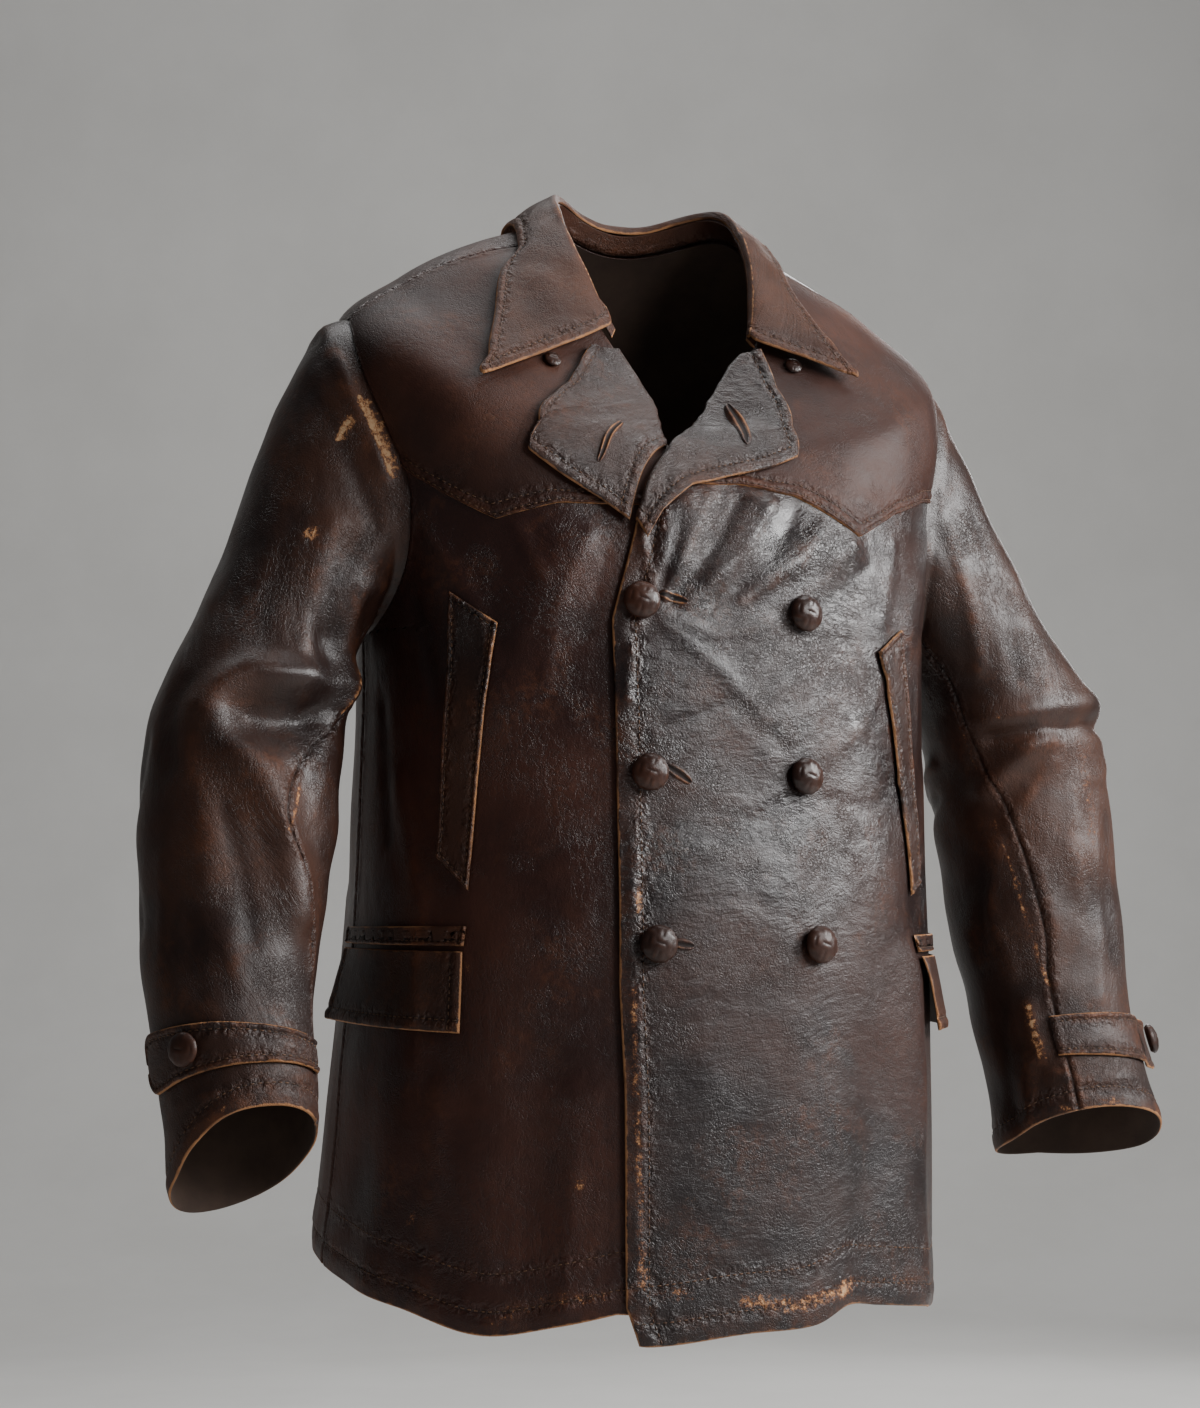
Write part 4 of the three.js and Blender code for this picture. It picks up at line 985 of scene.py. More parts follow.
class Nodes:
    """Adds nodes to a tree and joins them."""

    def __init__(self, tree: bpy.types.NodeTree) -> None:
        """Keeps the tree."""
        self.tree = tree

    def add(self, kind: str, values: dict | None = None, **settings: object) -> bpy.types.Node:
        """Adds a node.

        Args:
            kind: The node's type.
            values: Its inputs by name or number, each a value or the output to link.
            **settings: Its own settings.

        Returns:
            The node.
        """
        node = self.tree.nodes.new(kind)
        for key, value in settings.items():
            setattr(node, key, value)
        for key, value in (values or {}).items():
            if isinstance(value, bpy.types.NodeSocket):
                self.tree.links.new(value, node.inputs[key])
            else:
                node.inputs[key].default_value = value
        return node

    def math(self, operation: str, first: object, second: object = 0.0,
             clamp: bool = False) -> bpy.types.NodeSocket:
        """What an operation makes of two numbers or outputs."""
        node = self.add("ShaderNodeMath", {0: first, 1: second}, operation=operation, use_clamp=clamp)
        return node.outputs[0]

    def plus(self, first: object, second: object, clamp: bool = False) -> bpy.types.NodeSocket:
        """Two values added."""
        return self.math("ADD", first, second, clamp)

    def minus(self, first: object, second: object, clamp: bool = False) -> bpy.types.NodeSocket:
        """The first value less the second."""
        return self.math("SUBTRACT", first, second, clamp)

    def times(self, first: object, second: object, clamp: bool = False) -> bpy.types.NodeSocket:
        """Two values multiplied."""
        return self.math("MULTIPLY", first, second, clamp)

    def greater(self, first: object, second: object, clamp: bool = False) -> bpy.types.NodeSocket:
        """The greater of two values."""
        return self.math("MAXIMUM", first, second, clamp)

    def step(self, value: object, low: float, high: float) -> bpy.types.NodeSocket:
        """A soft step from 0 at low to 1 at high."""
        values = {"Value": value, "From Min": low, "From Max": high, "To Min": 0.0, "To Max": 1.0}
        return self.add("ShaderNodeMapRange", values, interpolation_type="SMOOTHSTEP").outputs[0]

    def noise(self, vector: object, scale: float, detail: float = 4, rough: float = 0.55,
              distortion: float = 0) -> bpy.types.NodeSocket:
        """A cloud of values round one half.

        Args:
            vector: Where it is read.
            scale: Clouds a metre.
            detail: How many finer clouds are added.
            rough: How much each of them counts.
            distortion: How far it is warped.

        Returns:
            The values.
        """
        values = {"Vector": vector, "Scale": scale, "Detail": detail, "Roughness": rough,
                  "Distortion": distortion}
        return self.add("ShaderNodeTexNoise", values).outputs[0]

    def mix(self, share: object, first: object, second: object) -> bpy.types.NodeSocket:
        """A colour between two.

        Args:
            share: 0 for the first, 1 for the second.
            first: A colour or output.
            second: A colour or output.

        Returns:
            The mixed colour.
        """
        node = self.add("ShaderNodeMix", data_type="RGBA")
        for index, value in ((0, share), (6, first), (7, second)):
            if isinstance(value, bpy.types.NodeSocket):
                self.tree.links.new(value, node.inputs[index])
            else:
                node.inputs[index].default_value = value
        return node.outputs[2]

    def value_of(self, name: str) -> bpy.types.NodeSocket:
        """A number stored on the mesh."""
        return self.add("ShaderNodeAttribute", attribute_name=name).outputs["Fac"]


def new_group(name: str, inputs: dict[str, float],
              outputs: tuple[str, ...]) -> tuple[bpy.types.NodeTree, Nodes, bpy.types.Node, bpy.types.Node]:
    """Starts a shader node group with number sockets.

    Args:
        name: The group's name.
        inputs: Its inputs and their usual values.
        outputs: Its outputs.

    Returns:
        The tree, its nodes, and the nodes for its inputs and outputs.
    """
    tree = bpy.data.node_groups.new(name, "ShaderNodeTree")
    for key, value in inputs.items():
        tree.interface.new_socket(key, in_out="INPUT", socket_type="NodeSocketFloat").default_value = value
    for key in outputs:
        tree.interface.new_socket(key, in_out="OUTPUT", socket_type="NodeSocketFloat")
    nodes = Nodes(tree)
    return tree, nodes, nodes.add("NodeGroupInput"), nodes.add("NodeGroupOutput")


class LeatherWorks:
    """The node groups that all the leather shares."""

    def __init__(self) -> None:
        """Builds the groups."""
        self.wear = self._wear_group()
        self.relief = self._relief_group()

    def _wear_group(self) -> bpy.types.NodeTree:
        """Masks of wear: pale edges, rubbed patches and ridges, scuffs, handled leather and mottling, and one
        mask of painted shade in crease troughs joined with dark seam and stitch lines.

        A fine cloud added to a patch before its soft step gives the patch a ragged outline.

        Returns:
            The group.
        """
        tree, n, given, out = new_group(
            "Leather wear", {"Edge wear": 1.0, "Scuffs": 0.5, "Ridge wear": 0.5, "Blotches": 0.4},
            ("Tan", "Rub", "Scuff", "Mottle", "Crease shade and dark seams", "Handled", "Bare"))
        place = n.add("ShaderNodeTexCoord").outputs["Object"]
        edge, seam, ridge = n.value_of("edge"), n.value_of("seam"), n.value_of("ridge")
        patch = n.plus(n.value_of("rub"), n.times(n.minus(n.noise(place, 260, 8, 0.8), 0.5), 2.6))
        reach = n.plus(n.times(n.noise(place, 120, 5, 0.65), 3.2), -0.6)
        reach = n.greater(n.times(reach, given.outputs["Edge wear"]), 0.05)
        rim = n.minus(1.0, n.step(n.math("DIVIDE", edge, reach), 0.5, 1.4), True)
        tan = n.times(rim, n.step(n.noise(place, 17, 4, 0.6), 0.3, 0.56), True)
        tan = n.greater(n.times(tan, 0.92), n.step(patch, 0.74, 0.86))
        near = n.minus(1.0, n.step(edge, 0.0, 9.0))
        near_seam = n.minus(1.0, n.step(seam, 0.0, 5.0))
        worn = n.plus(n.times(n.step(ridge, 0.35, 1.9), given.outputs["Ridge wear"]),
                      n.plus(n.times(near, 0.5), n.times(near_seam, 0.3)))
        rub = n.times(worn, n.step(n.noise(place, 60, 6, 0.7), 0.4, 0.66), True)
        rub = n.greater(rub, n.times(n.step(patch, 0.42, 0.88), 0.85))
        blotch = n.times(n.step(n.noise(place, 21, 6, 0.7, 0.3), 0.5, 0.68),
                         n.step(n.noise(place, 170, 5, 0.8), 0.4, 0.62))
        rub = n.greater(rub, n.times(blotch, given.outputs["Blotches"]))
        spots = n.step(n.noise(place, 34, 8, 0.75, 0.4), 0.66, 0.74)
        spots = n.times(spots, n.step(n.noise(place, 420, 3, 0.7), 0.42, 0.6))
        # Painted shade: crease troughs and other hollows (ridge below 0) are darkened; below it is joined
        # with dark lines along seams and stitches
        low = n.times(n.step(n.times(ridge, -1.0), 0.1, 1.4), 0.7)
        groove = n.times(n.minus(1.0, n.step(seam, 0.2, 1.8)), 0.8)
        height = n.add("ShaderNodeSeparateXYZ", {0: place}).outputs[2]
        masks = {
            "Tan": tan,
            "Rub": rub,
            "Scuff": n.times(spots, given.outputs["Scuffs"], True),
            "Mottle": n.step(n.noise(place, 9, 5, 0.6, 0.3), 0.35, 0.68),
            "Crease shade and dark seams": n.greater(low, groove, True),
            "Handled": n.step(height, -0.56, -0.36),
            "Bare": n.step(patch, 0.9, 1.02),
        }
        for key, socket in masks.items():
            tree.links.new(socket, out.inputs[key])
        return tree

    @staticmethod
    def _thin_lines(n: Nodes, cloud: bpy.types.NodeSocket, width: float) -> bpy.types.NodeSocket:
        """Thin lines where a cloud passes one half."""
        return n.minus(1.0, n.step(n.math("ABSOLUTE", n.minus(cloud, 0.5)), 0.0, width))

    def _relief_group(self) -> bpy.types.NodeTree:
        """Height of the leather's surface: pebbled grain, crackle, drawn wrinkles and puckers at seams.

        Returns:
            The group.
        """
        tree, n, given, out = new_group(
            "Leather relief",
            {"Grain": 0.25, "Crackle": 0.4, "Wrinkles": 0.6, "Draw U": 60.0, "Draw V": 60.0},
            ("Height", "Crack"))
        coords = n.add("ShaderNodeTexCoord")
        place, flat = coords.outputs["Object"], n.add("ShaderNodeSeparateXYZ", {0: coords.outputs["UV"]})
        cloud = n.add("ShaderNodeTexNoise", {"Vector": place, "Scale": 90.0, "Detail": 2.0}).outputs["Color"]
        shift = n.add("ShaderNodeVectorMath", {0: cloud, 1: (0.006, 0.006, 0.006)}, operation="MULTIPLY")
        bent = n.add("ShaderNodeVectorMath", {0: place, 1: shift.outputs[0]}, operation="ADD").outputs[0]
        pebble = n.add("ShaderNodeTexVoronoi", {"Vector": place, "Scale": 900.0}).outputs["Distance"]
        where = n.step(n.noise(place, 26, 3, 0.6), 0.42, 0.66)
        cells = n.add("ShaderNodeTexVoronoi", {"Vector": bent, "Scale": 420.0}, feature="DISTANCE_TO_EDGE")
        crack = n.times(n.minus(1.0, n.step(cells.outputs[0], 0.0, 0.14)), where)
        drawn = n.add("ShaderNodeCombineXYZ", {
            0: n.times(flat.outputs[0], given.outputs["Draw U"]),
            1: n.times(flat.outputs[1], given.outputs["Draw V"])}).outputs[0]
        lines = self._thin_lines(n, n.noise(drawn, 2.6, 4, 0.6, 0.5), 0.045)
        more = n.times(self._thin_lines(n, n.noise(place, 150, 3, 0.6, 0.8), 0.03), where)
        lines = n.greater(n.times(lines, n.step(n.noise(place, 18, 2), 0.4, 0.6)), more)
        height = n.plus(n.times(pebble, given.outputs["Grain"]),
                        n.times(crack, n.times(given.outputs["Crackle"], -1.0)))
        wrinkles = n.plus(n.noise(drawn, 1.0, 7, 0.66, 0.25), n.times(n.noise(place, 55, 5, 0.6, 0.2), 0.8))
        wrinkles = n.times(n.times(wrinkles, given.outputs["Wrinkles"]), 2.4)
        wrinkles = n.minus(wrinkles, n.times(lines, 0.2))
        near = n.minus(1.0, n.step(n.value_of("seam"), 1.0, 9.0))
        pucker = n.times(n.minus(n.noise(place, 190, 3, 0.55, 0.4), 0.5), n.times(near, 5.5))
        tree.links.new(n.plus(height, n.plus(wrinkles, pucker)), out.inputs["Height"])
        tree.links.new(n.greater(n.times(crack, 0.6), lines), out.inputs["Crack"])
        return tree


def colour(red: float, green: float, blue: float) -> Colour:
    """A plain colour."""
    return (red, green, blue, 1.0)


@dataclass(frozen=True)
class LeatherFinish:
    """Aged leather: a dark dye over a warm hide, with pale edges, rubbed ridges and scuffs, painted shade in
    its crease troughs and dark seam lines.
    """

    name: str
    dye: Colour
    hide: Colour
    rubbed: Colour = colour(0.17, 0.056, 0.022)
    tan: Colour = colour(0.46, 0.215, 0.092)
    gloss: float = 0.34
    matt: float = 0.6
    coat: float = 0.2
    edge_wear: float = 1.0
    scuffs: float = 0.5
    ridge_wear: float = 0.5
    grain: float = 0.2
    crackle: float = 0.35
    wrinkles: float = 0.5
    draw: tuple[float, float] = (60.0, 60.0)
    bump: float = 0.6
    faded: float = 0.12
    blotches: float = 0.42
    bare: Colour = colour(0.60, 0.38, 0.21)
    crack: Colour = colour(0.012, 0.006, 0.005)
    # Painted shade for crease troughs and hollows, also the dark seam and stitch lines
    crease_shade_and_dark_seams: Colour = colour(0.008, 0.004, 0.004)

    def material(self, works: LeatherWorks) -> bpy.types.Material:
        """Makes the material.

        Args:
            works: The shared node groups.

        Returns:
            The material.
        """
        made = bpy.data.materials.new(self.name)
        made.use_nodes = True
        made.node_tree.nodes.clear()
        n = Nodes(made.node_tree)
        wear = n.add("ShaderNodeGroup", node_tree=works.wear, values={
            "Edge wear": self.edge_wear, "Scuffs": self.scuffs, "Ridge wear": self.ridge_wear,
            "Blotches": self.blotches}).outputs
        relief = n.add("ShaderNodeGroup", node_tree=works.relief, values={
            "Grain": self.grain, "Crackle": self.crackle, "Wrinkles": self.wrinkles,
            "Draw U": self.draw[0], "Draw V": self.draw[1]}).outputs
        base = n.mix(wear["Mottle"], self.dye, self.hide)
        for share, shade in (
            (n.times(wear["Rub"], 0.75), self.rubbed),
            (n.times(wear["Scuff"], 0.8), self.tan),
            (n.times(relief["Crack"], 0.35), self.crack),
            # Painted shade in crease troughs, with dark seam and stitch lines
            (n.times(wear["Crease shade and dark seams"], 0.6), self.crease_shade_and_dark_seams),
            (wear["Tan"], self.tan),
            (wear["Bare"], self.bare),
        ):
            base = n.mix(share, base, shade)
        rough = n.plus(self.gloss, n.times(wear["Mottle"], (self.matt - self.gloss) * 0.7))
        rough = n.plus(rough, n.times(n.minus(1.0, wear["Handled"]), self.faded))
        for mask, more in (("Rub", 0.12), ("Scuff", 0.25), ("Tan", 0.25)):
            rough = n.plus(rough, n.times(wear[mask], more), True)
        polish = n.minus(1.0, n.times(wear["Mottle"], 0.55))
        polish = n.times(polish, n.plus(0.35, n.times(wear["Handled"], 0.65)))
        polish = n.times(polish, n.minus(1.0, wear["Rub"]))
        polish = n.times(polish, self.coat, True)
        bump = n.add("ShaderNodeBump", {"Strength": self.bump, "Distance": 0.0007,
                                        "Height": relief["Height"]})
        shader = n.add("ShaderNodeBsdfPrincipled", {
            "Base Color": base, "Roughness": rough, "Normal": bump.outputs[0], "Coat Normal": bump.outputs[0],
            "Coat Weight": polish, "Coat Roughness": 0.2, "Specular IOR Level": 0.36})
        n.add("ShaderNodeOutputMaterial", {"Surface": shader.outputs[0]})
        return made


@dataclass(frozen=True)
class PlainFinish:
    """A finish of two mottled colours with a fine fibrous height: lining, thread, or the painted shade inside
    a buttonhole's slit.
    """

    name: str
    first: Colour
    second: Colour
    roughness: float
    scale: float
    bump: float = 0.3

    def material(self) -> bpy.types.Material:
        """Makes the material.

        Returns:
            The material.
        """
        made = bpy.data.materials.new(self.name)
        made.use_nodes = True
        made.node_tree.nodes.clear()
        n = Nodes(made.node_tree)
        place = n.add("ShaderNodeTexCoord").outputs["Object"]
        cloud = n.noise(place, self.scale, 6, 0.65)
        base = n.mix(n.step(cloud, 0.35, 0.65), self.first, self.second)
        bump = n.add("ShaderNodeBump", {"Strength": self.bump, "Distance": 0.0004,
                                        "Height": n.noise(place, self.scale * 12, 4, 0.7)})
        shader = n.add("ShaderNodeBsdfPrincipled", {
            "Base Color": base, "Roughness": self.roughness, "Normal": bump.outputs[0]})
        n.add("ShaderNodeOutputMaterial", {"Surface": shader.outputs[0]})
        return made


class Finish(Enum):
    """What a piece is made of."""

    TOP = "polished front leather"
    BODY = "oxblood front and back leather"
    YOKE = "matt yoke leather"
    COLLAR = "rubbed collar leather"
    SLEEVE = "sleeve leather"
    TRIM = "trim leather"
    LAPEL = "lapel leather"
    BUTTON = "plaited button leather"
    LINING = "lining"
    THREAD = "waxed thread"
    # Painted shade: a near-black sheet that stands for the gap of a buttonhole
    SLIT_SHADE = "inside of a buttonhole"


@dataclass
class Wardrobe:
    """All the finishes, made once."""

    works: LeatherWorks = field(default_factory=LeatherWorks)

    def __post_init__(self) -> None:
        """Makes the materials."""
        top = LeatherFinish(
            "Polished front leather", colour(0.014, 0.0085, 0.0085), colour(0.044, 0.018, 0.013), gloss=0.25,
            matt=0.5, coat=0.75, scuffs=0.35, ridge_wear=0.35, crackle=0.3, wrinkles=0.75, draw=(45, 95),
            bump=0.85)
        finishes = {
            Finish.TOP: top,
            Finish.BODY: replace(top, name="Oxblood front leather", dye=colour(0.030, 0.0095, 0.007),
                            hide=colour(0.070, 0.022, 0.013), gloss=0.36, matt=0.56, coat=0.45, scuffs=0.6,
                            draw=(80, 40), wrinkles=0.5),
            Finish.YOKE: replace(top, name="Matt yoke leather", dye=colour(0.034, 0.0118, 0.0078),
                            hide=colour(0.080, 0.027, 0.015), gloss=0.47, matt=0.64, coat=0.0, scuffs=0.35,
                            ridge_wear=0.5, edge_wear=0.45, wrinkles=0.4, draw=(60, 60), bump=0.6),
            Finish.COLLAR: replace(top, name="Rubbed collar leather", dye=colour(0.044, 0.0152, 0.008),
                              hide=colour(0.105, 0.037, 0.0165), gloss=0.45, matt=0.6, coat=0.0, scuffs=0.6,
                              ridge_wear=0.8, edge_wear=1.0, wrinkles=0.6, draw=(90, 45), bump=0.85),
            Finish.SLEEVE: replace(top, name="Sleeve leather", dye=colour(0.022, 0.0095, 0.007),
                              hide=colour(0.064, 0.024, 0.013), gloss=0.4, matt=0.58, coat=0.28, scuffs=0.6,
                              ridge_wear=0.6, wrinkles=0.45, draw=(60, 45)),
            Finish.TRIM: replace(top, name="Trim leather", dye=colour(0.024, 0.0105, 0.008),
                            hide=colour(0.066, 0.026, 0.015), gloss=0.38, matt=0.54, coat=0.3, scuffs=0.4,
                            ridge_wear=0.6, edge_wear=0.8, wrinkles=0.5, draw=(80, 80)),
            Finish.LAPEL: replace(top, name="Lapel leather", dye=colour(0.021, 0.0105, 0.0088),
                             hide=colour(0.056, 0.024, 0.016), gloss=0.34, matt=0.52, coat=0.6, scuffs=0.4,
                             ridge_wear=0.7, edge_wear=0.85, crackle=0.5, wrinkles=1.0, draw=(60, 150),
                             bump=0.85),
            Finish.BUTTON: LeatherFinish(
                "Plaited button leather", colour(0.016, 0.006, 0.004), colour(0.060, 0.019, 0.009),
                gloss=0.34, matt=0.48, coat=0.4, scuffs=0.1, ridge_wear=0.6, edge_wear=0.0, crackle=0.0,
                wrinkles=0.15, bump=0.3, blotches=0.2),
        }
        self.of = {key: finish.material(self.works) for key, finish in finishes.items()}
        self.of[Finish.LINING] = PlainFinish(
            "Lining", colour(0.062, 0.036, 0.024), colour(0.044, 0.025, 0.017), 0.85, 30, 0.4).material()
        self.of[Finish.THREAD] = PlainFinish(
            "Waxed thread", colour(0.055, 0.026, 0.014), colour(0.15, 0.07, 0.033), 0.6, 90).material()
        # The buttonhole's slit is painted shade: near black
        self.of[Finish.SLIT_SHADE] = PlainFinish(
            "Buttonhole slit shade", colour(0.012, 0.007, 0.006), colour(0.02, 0.01, 0.008), 0.8, 90).material()


class Fronts:
    """Both fronts and both yokes."""

    def __init__(self, body: BodyForm, finishes: Wardrobe) -> None:
        """Keeps the form and the finishes."""
        self.body, self.finishes = body, finishes

    def _panel(self, over: bool, edge: Rows, bottom: Rows | None, top: Rows, columns: Array, rows: Array,
               lift: float, tuck: float = 0.0) -> Laid:
        """A panel between a front's edge and the side: turn and level are straight shares of both.

        Args:
            over: True for the front that laps over.
            edge: The front's edge.
            bottom: The lower edge, or None for the hem.
            top: The upper edge.
            columns: Shares across.
            rows: Shares up.
            lift: Millimetres out.
            tuck: Levels by which it runs on under its neighbour.

        Returns:
            The laid grid.
        """
        u, v = np.meshgrid(columns, rows)
        low = corners_through(bottom, u)[..., 0] if bottom else np.zeros_like(u)
        high = corners_through(top, u)[..., 0] + tuck
        level = low + (high - low) * v
        start = corners_through(edge, level)[..., 0]
        side = 1 if over else -1
        turn = side * (start + (armhole_turn(level, False) - start) * u)
        out = lift + (overlap_lift(turn) if over else 0)
        return self.body.lay(turn, level, out, over)

    def build(self) -> None:
        """Makes the four panels."""
        of = self.finishes.of
        plans = (
            ("left", True, EDGE_TOP, YOKE_LEFT, NECK_LEFT, of[Finish.TOP], "top_leather"),
            ("right", False, EDGE_UNDER, YOKE_RIGHT, NECK_RIGHT, of[Finish.BODY], "body_leather"),
        )
        for name, over, edge, yoke, neck, leather, slot in plans:
            columns = places(330, 3.6, 19, 10)
            grid = self._panel(over, edge, None, yoke, columns, places(540, 3.8, 19, 5), 0, 0.06)
            hem = Side(Edge.FREE, (15.0, 38.0), 0.5)
            LeatherPiece(
                f"coat_front_{name}", grid,
                Sides(Side(Edge.FREE, (15.0,), 0.85), Side(Edge.SEAM), hem, Side()),
                leather, of[Finish.LINING], (f"front_{name}",), slot, Held.HUNG, (f"yoke_{name}",),
            ).build(of[Finish.THREAD])
            grid = self._panel(over, edge, yoke, neck, columns, places(230, 3.4, 14, 8), YOKE_STEP)
            LeatherPiece(
                f"coat_yoke_{name}", grid,
                Sides(Side(Edge.FREE), Side(Edge.SEAM), Side(Edge.FREE, (3.0, 10.0)), Side(Edge.SEAM)),
                of[Finish.YOKE], of[Finish.LINING], (f"yoke_{name}",), "yoke_leather", Held.HUNG, ("back",),
            ).build(of[Finish.THREAD])


class Back:
    """The back, whole from the hem to the neck."""

    def __init__(self, body: BodyForm, finishes: Wardrobe) -> None:
        """Keeps the form and the finishes."""
        self.body, self.finishes = body, finishes

    def build(self) -> None:
        """Makes the back: its turn is an even share of the way from side to side."""
        u, v = np.meshgrid(places(520, 4.6, 8, 8), places(830, 4.4, 17, 8))
        level = NECK_LEVEL * np.interp(v, (0, 0.5, 0.78, 1), (0, 1.2 / 3, 2 / 3, 1))
        side = armhole_turn(level, True)
        turn = side + (360 - 2 * side) * u
        of = self.finishes.of
        LeatherPiece(
            "coat_back", self.body.lay(turn, level, 0, False),
            Sides(Side(Edge.SEAM), Side(Edge.SEAM), Side(Edge.FREE, (15.0, 38.0), 0.5), Side(Edge.SEAM)),
            of[Finish.BODY], of[Finish.LINING], ("back",), "body_leather", Held.HUNG,
            ("yoke_left", "yoke_right"),
        ).build(of[Finish.THREAD])


@dataclass
class SleevePlan:
    """What makes one sleeve."""

    name: str
    side: int
    stations: Rows
    folds: tuple[Fold, ...]
    creases: tuple[Fold, ...]
    rubs: tuple[Fold, ...]
    seam: Rows
    head: tuple[float, float]
    hem: Rows


class SleeveForm:
    """A sleeve as a surface of turn round it, from its front outwards, and station from the armhole.

    From station 1 down it is a squared ellipse across a curved line. Above, each lengthwise line is a
    cubic that leaves the armhole in one direction and reaches station 1 along the tube.
    """

    def __init__(self, body: BodyForm, plan: SleevePlan) -> None:
        """Places the folds on the plain tube.

        Args:
            body: The body that the sleeve is set in.
            plan: The sleeve's plan.
        """
        self.body, self.plan = body, plan
        self.folds, self.creases, self.rubs = (
            [(fold, self.plain(*np.array(fold.stops, float).T)) for fold in kind]
            for kind in (plan.folds, plan.creases, plan.rubs)
        )

    def _tube(self, turn: Array, station: Array) -> Array:
        """Points of the tube from station 1 down.

        Args:
            turn: Degrees round the sleeve.
            station: Stations from the armhole.

        Returns:
            The points.
        """
        values = np.moveaxis(curve_through(self.plan.stations, station), -1, 0)
        x, y, z, out, inside, front, back, out_lean, front_lean = values
        cos, sin = np.cos(np.radians(turn)), np.sin(np.radians(turn))
        reach = squared_reach(cos, sin, 2.2)
        out_lean, front_lean = np.radians(out_lean), np.radians(front_lean)
        zero = np.zeros_like(x)
        outward = np.stack([self.plan.side * np.cos(out_lean), zero, np.sin(out_lean)], -1)
        forward = np.stack([zero, -np.cos(front_lean), np.sin(front_lean)], -1)
        across = (np.where(sin > 0, out, inside) * reach * sin)[..., None]
        along = (np.where(cos > 0, front, back) * reach * cos)[..., None]
        return np.stack([self.plan.side * x, y, z], -1) + outward * across + forward * along

    def plain(self, turn: Array, station: Array) -> Array:
        """Points of the sleeve before its folds.

        Args:
            turn: Degrees round the sleeve.
            station: Stations from the armhole.

        Returns:
            The points.
        """
        turn, station = np.broadcast_arrays(np.asarray(turn, float), np.asarray(station, float))
        tube = self._tube(turn, np.maximum(station, 1))
        top = (1 + np.sin(np.radians(turn))) / 2
        side, start = self.plan.side, self._loop(turn, HEAD_SET_IN, HEAD_LIFT)
        outwards = 22 + (self.plan.head[0] - 22) * top
        upwards = -52 + (self.plan.head[1] + 52) * top
        leave = np.stack([side * outwards, np.zeros_like(top), upwards], -1)
        one = np.ones_like(station)
        end = self._tube(turn, one)
        arrive = unit(self._tube(turn, one * 1.02) - end) * (50 + 100 * top)[..., None]
        head = cubic(start, leave, end, arrive, np.minimum(station, 1)[..., None])
        return np.where((station >= 1)[..., None], tube, head)

    def _loop(self, turn: Array, set_in: float, lift: float) -> Array:
        """A loop round the armhole's edge.

        Args:
            turn: Degrees round the sleeve.
            set_in: How far inside the armhole's edge, or below 0 past it.
            lift: Millimetres off the body.

        Returns:
            The points.
        """
        loop_turn = SIDE_SEAM - (ARMHOLE_TURN - set_in) * np.cos(np.radians(turn))
        loop_level = ARMHOLE_LEVEL + (ARMHOLE_RISE - set_in / 100) * np.sin(np.radians(turn))
        base = self.body.plain(self.plan.side * loop_turn, loop_level, False)
        normal = self.body.normal(self.plan.side * loop_turn, loop_level, False)
        return base + normal * (lift + fold_height(base, self.body.common))[..., None]

    def lay(self, turn: Array, station: Array, lift: Array | float = 0.0) -> Laid:
        """Lays points on the folded sleeve, whose first few millimetres dip under the body's edge.

        Args:
            turn: Degrees round the sleeve.
            station: Stations from the armhole.
            lift: Millimetres out.

        Returns:
            The laid grid.
        """
        turn, station = np.broadcast_arrays(np.asarray(turn, float), np.asarray(station, float))
        point = self.plain(turn, station)
        around = self.plain(turn + 1, station) - self.plain(turn - 1, station)
        along = self.plain(turn, station + 0.02) - self.plain(turn, np.maximum(station - 0.02, 0))
        normal = unit(np.cross(along, around)) * self.plan.side
        crease = fold_height(point, self.creases) + unevenness(point, 9, 0.8, 55)
        crease = crease * smooth(station, 0, 0.12)
        out = np.asarray(lift + fold_height(point, self.folds) + crease)[..., None]
        under = self._loop(turn, -HEAD_SET_IN, -2.8) - self._loop(turn, HEAD_SET_IN, HEAD_LIFT)
        dip = under * (1 - smooth(station, 0, 0.075))[..., None]
        return Laid(point + normal * out + dip, normal, crease, fold_height(point, self.rubs))


@dataclass(frozen=True)
class StrapPlan:
    """One cuff strap: degrees round the sleeve, stations of its edges, its tip's stand, its button."""

    start: float
    end: float
    top: tuple[float, float]
    bottom: tuple[float, float]
    stand: float
    button: float
    gap: float


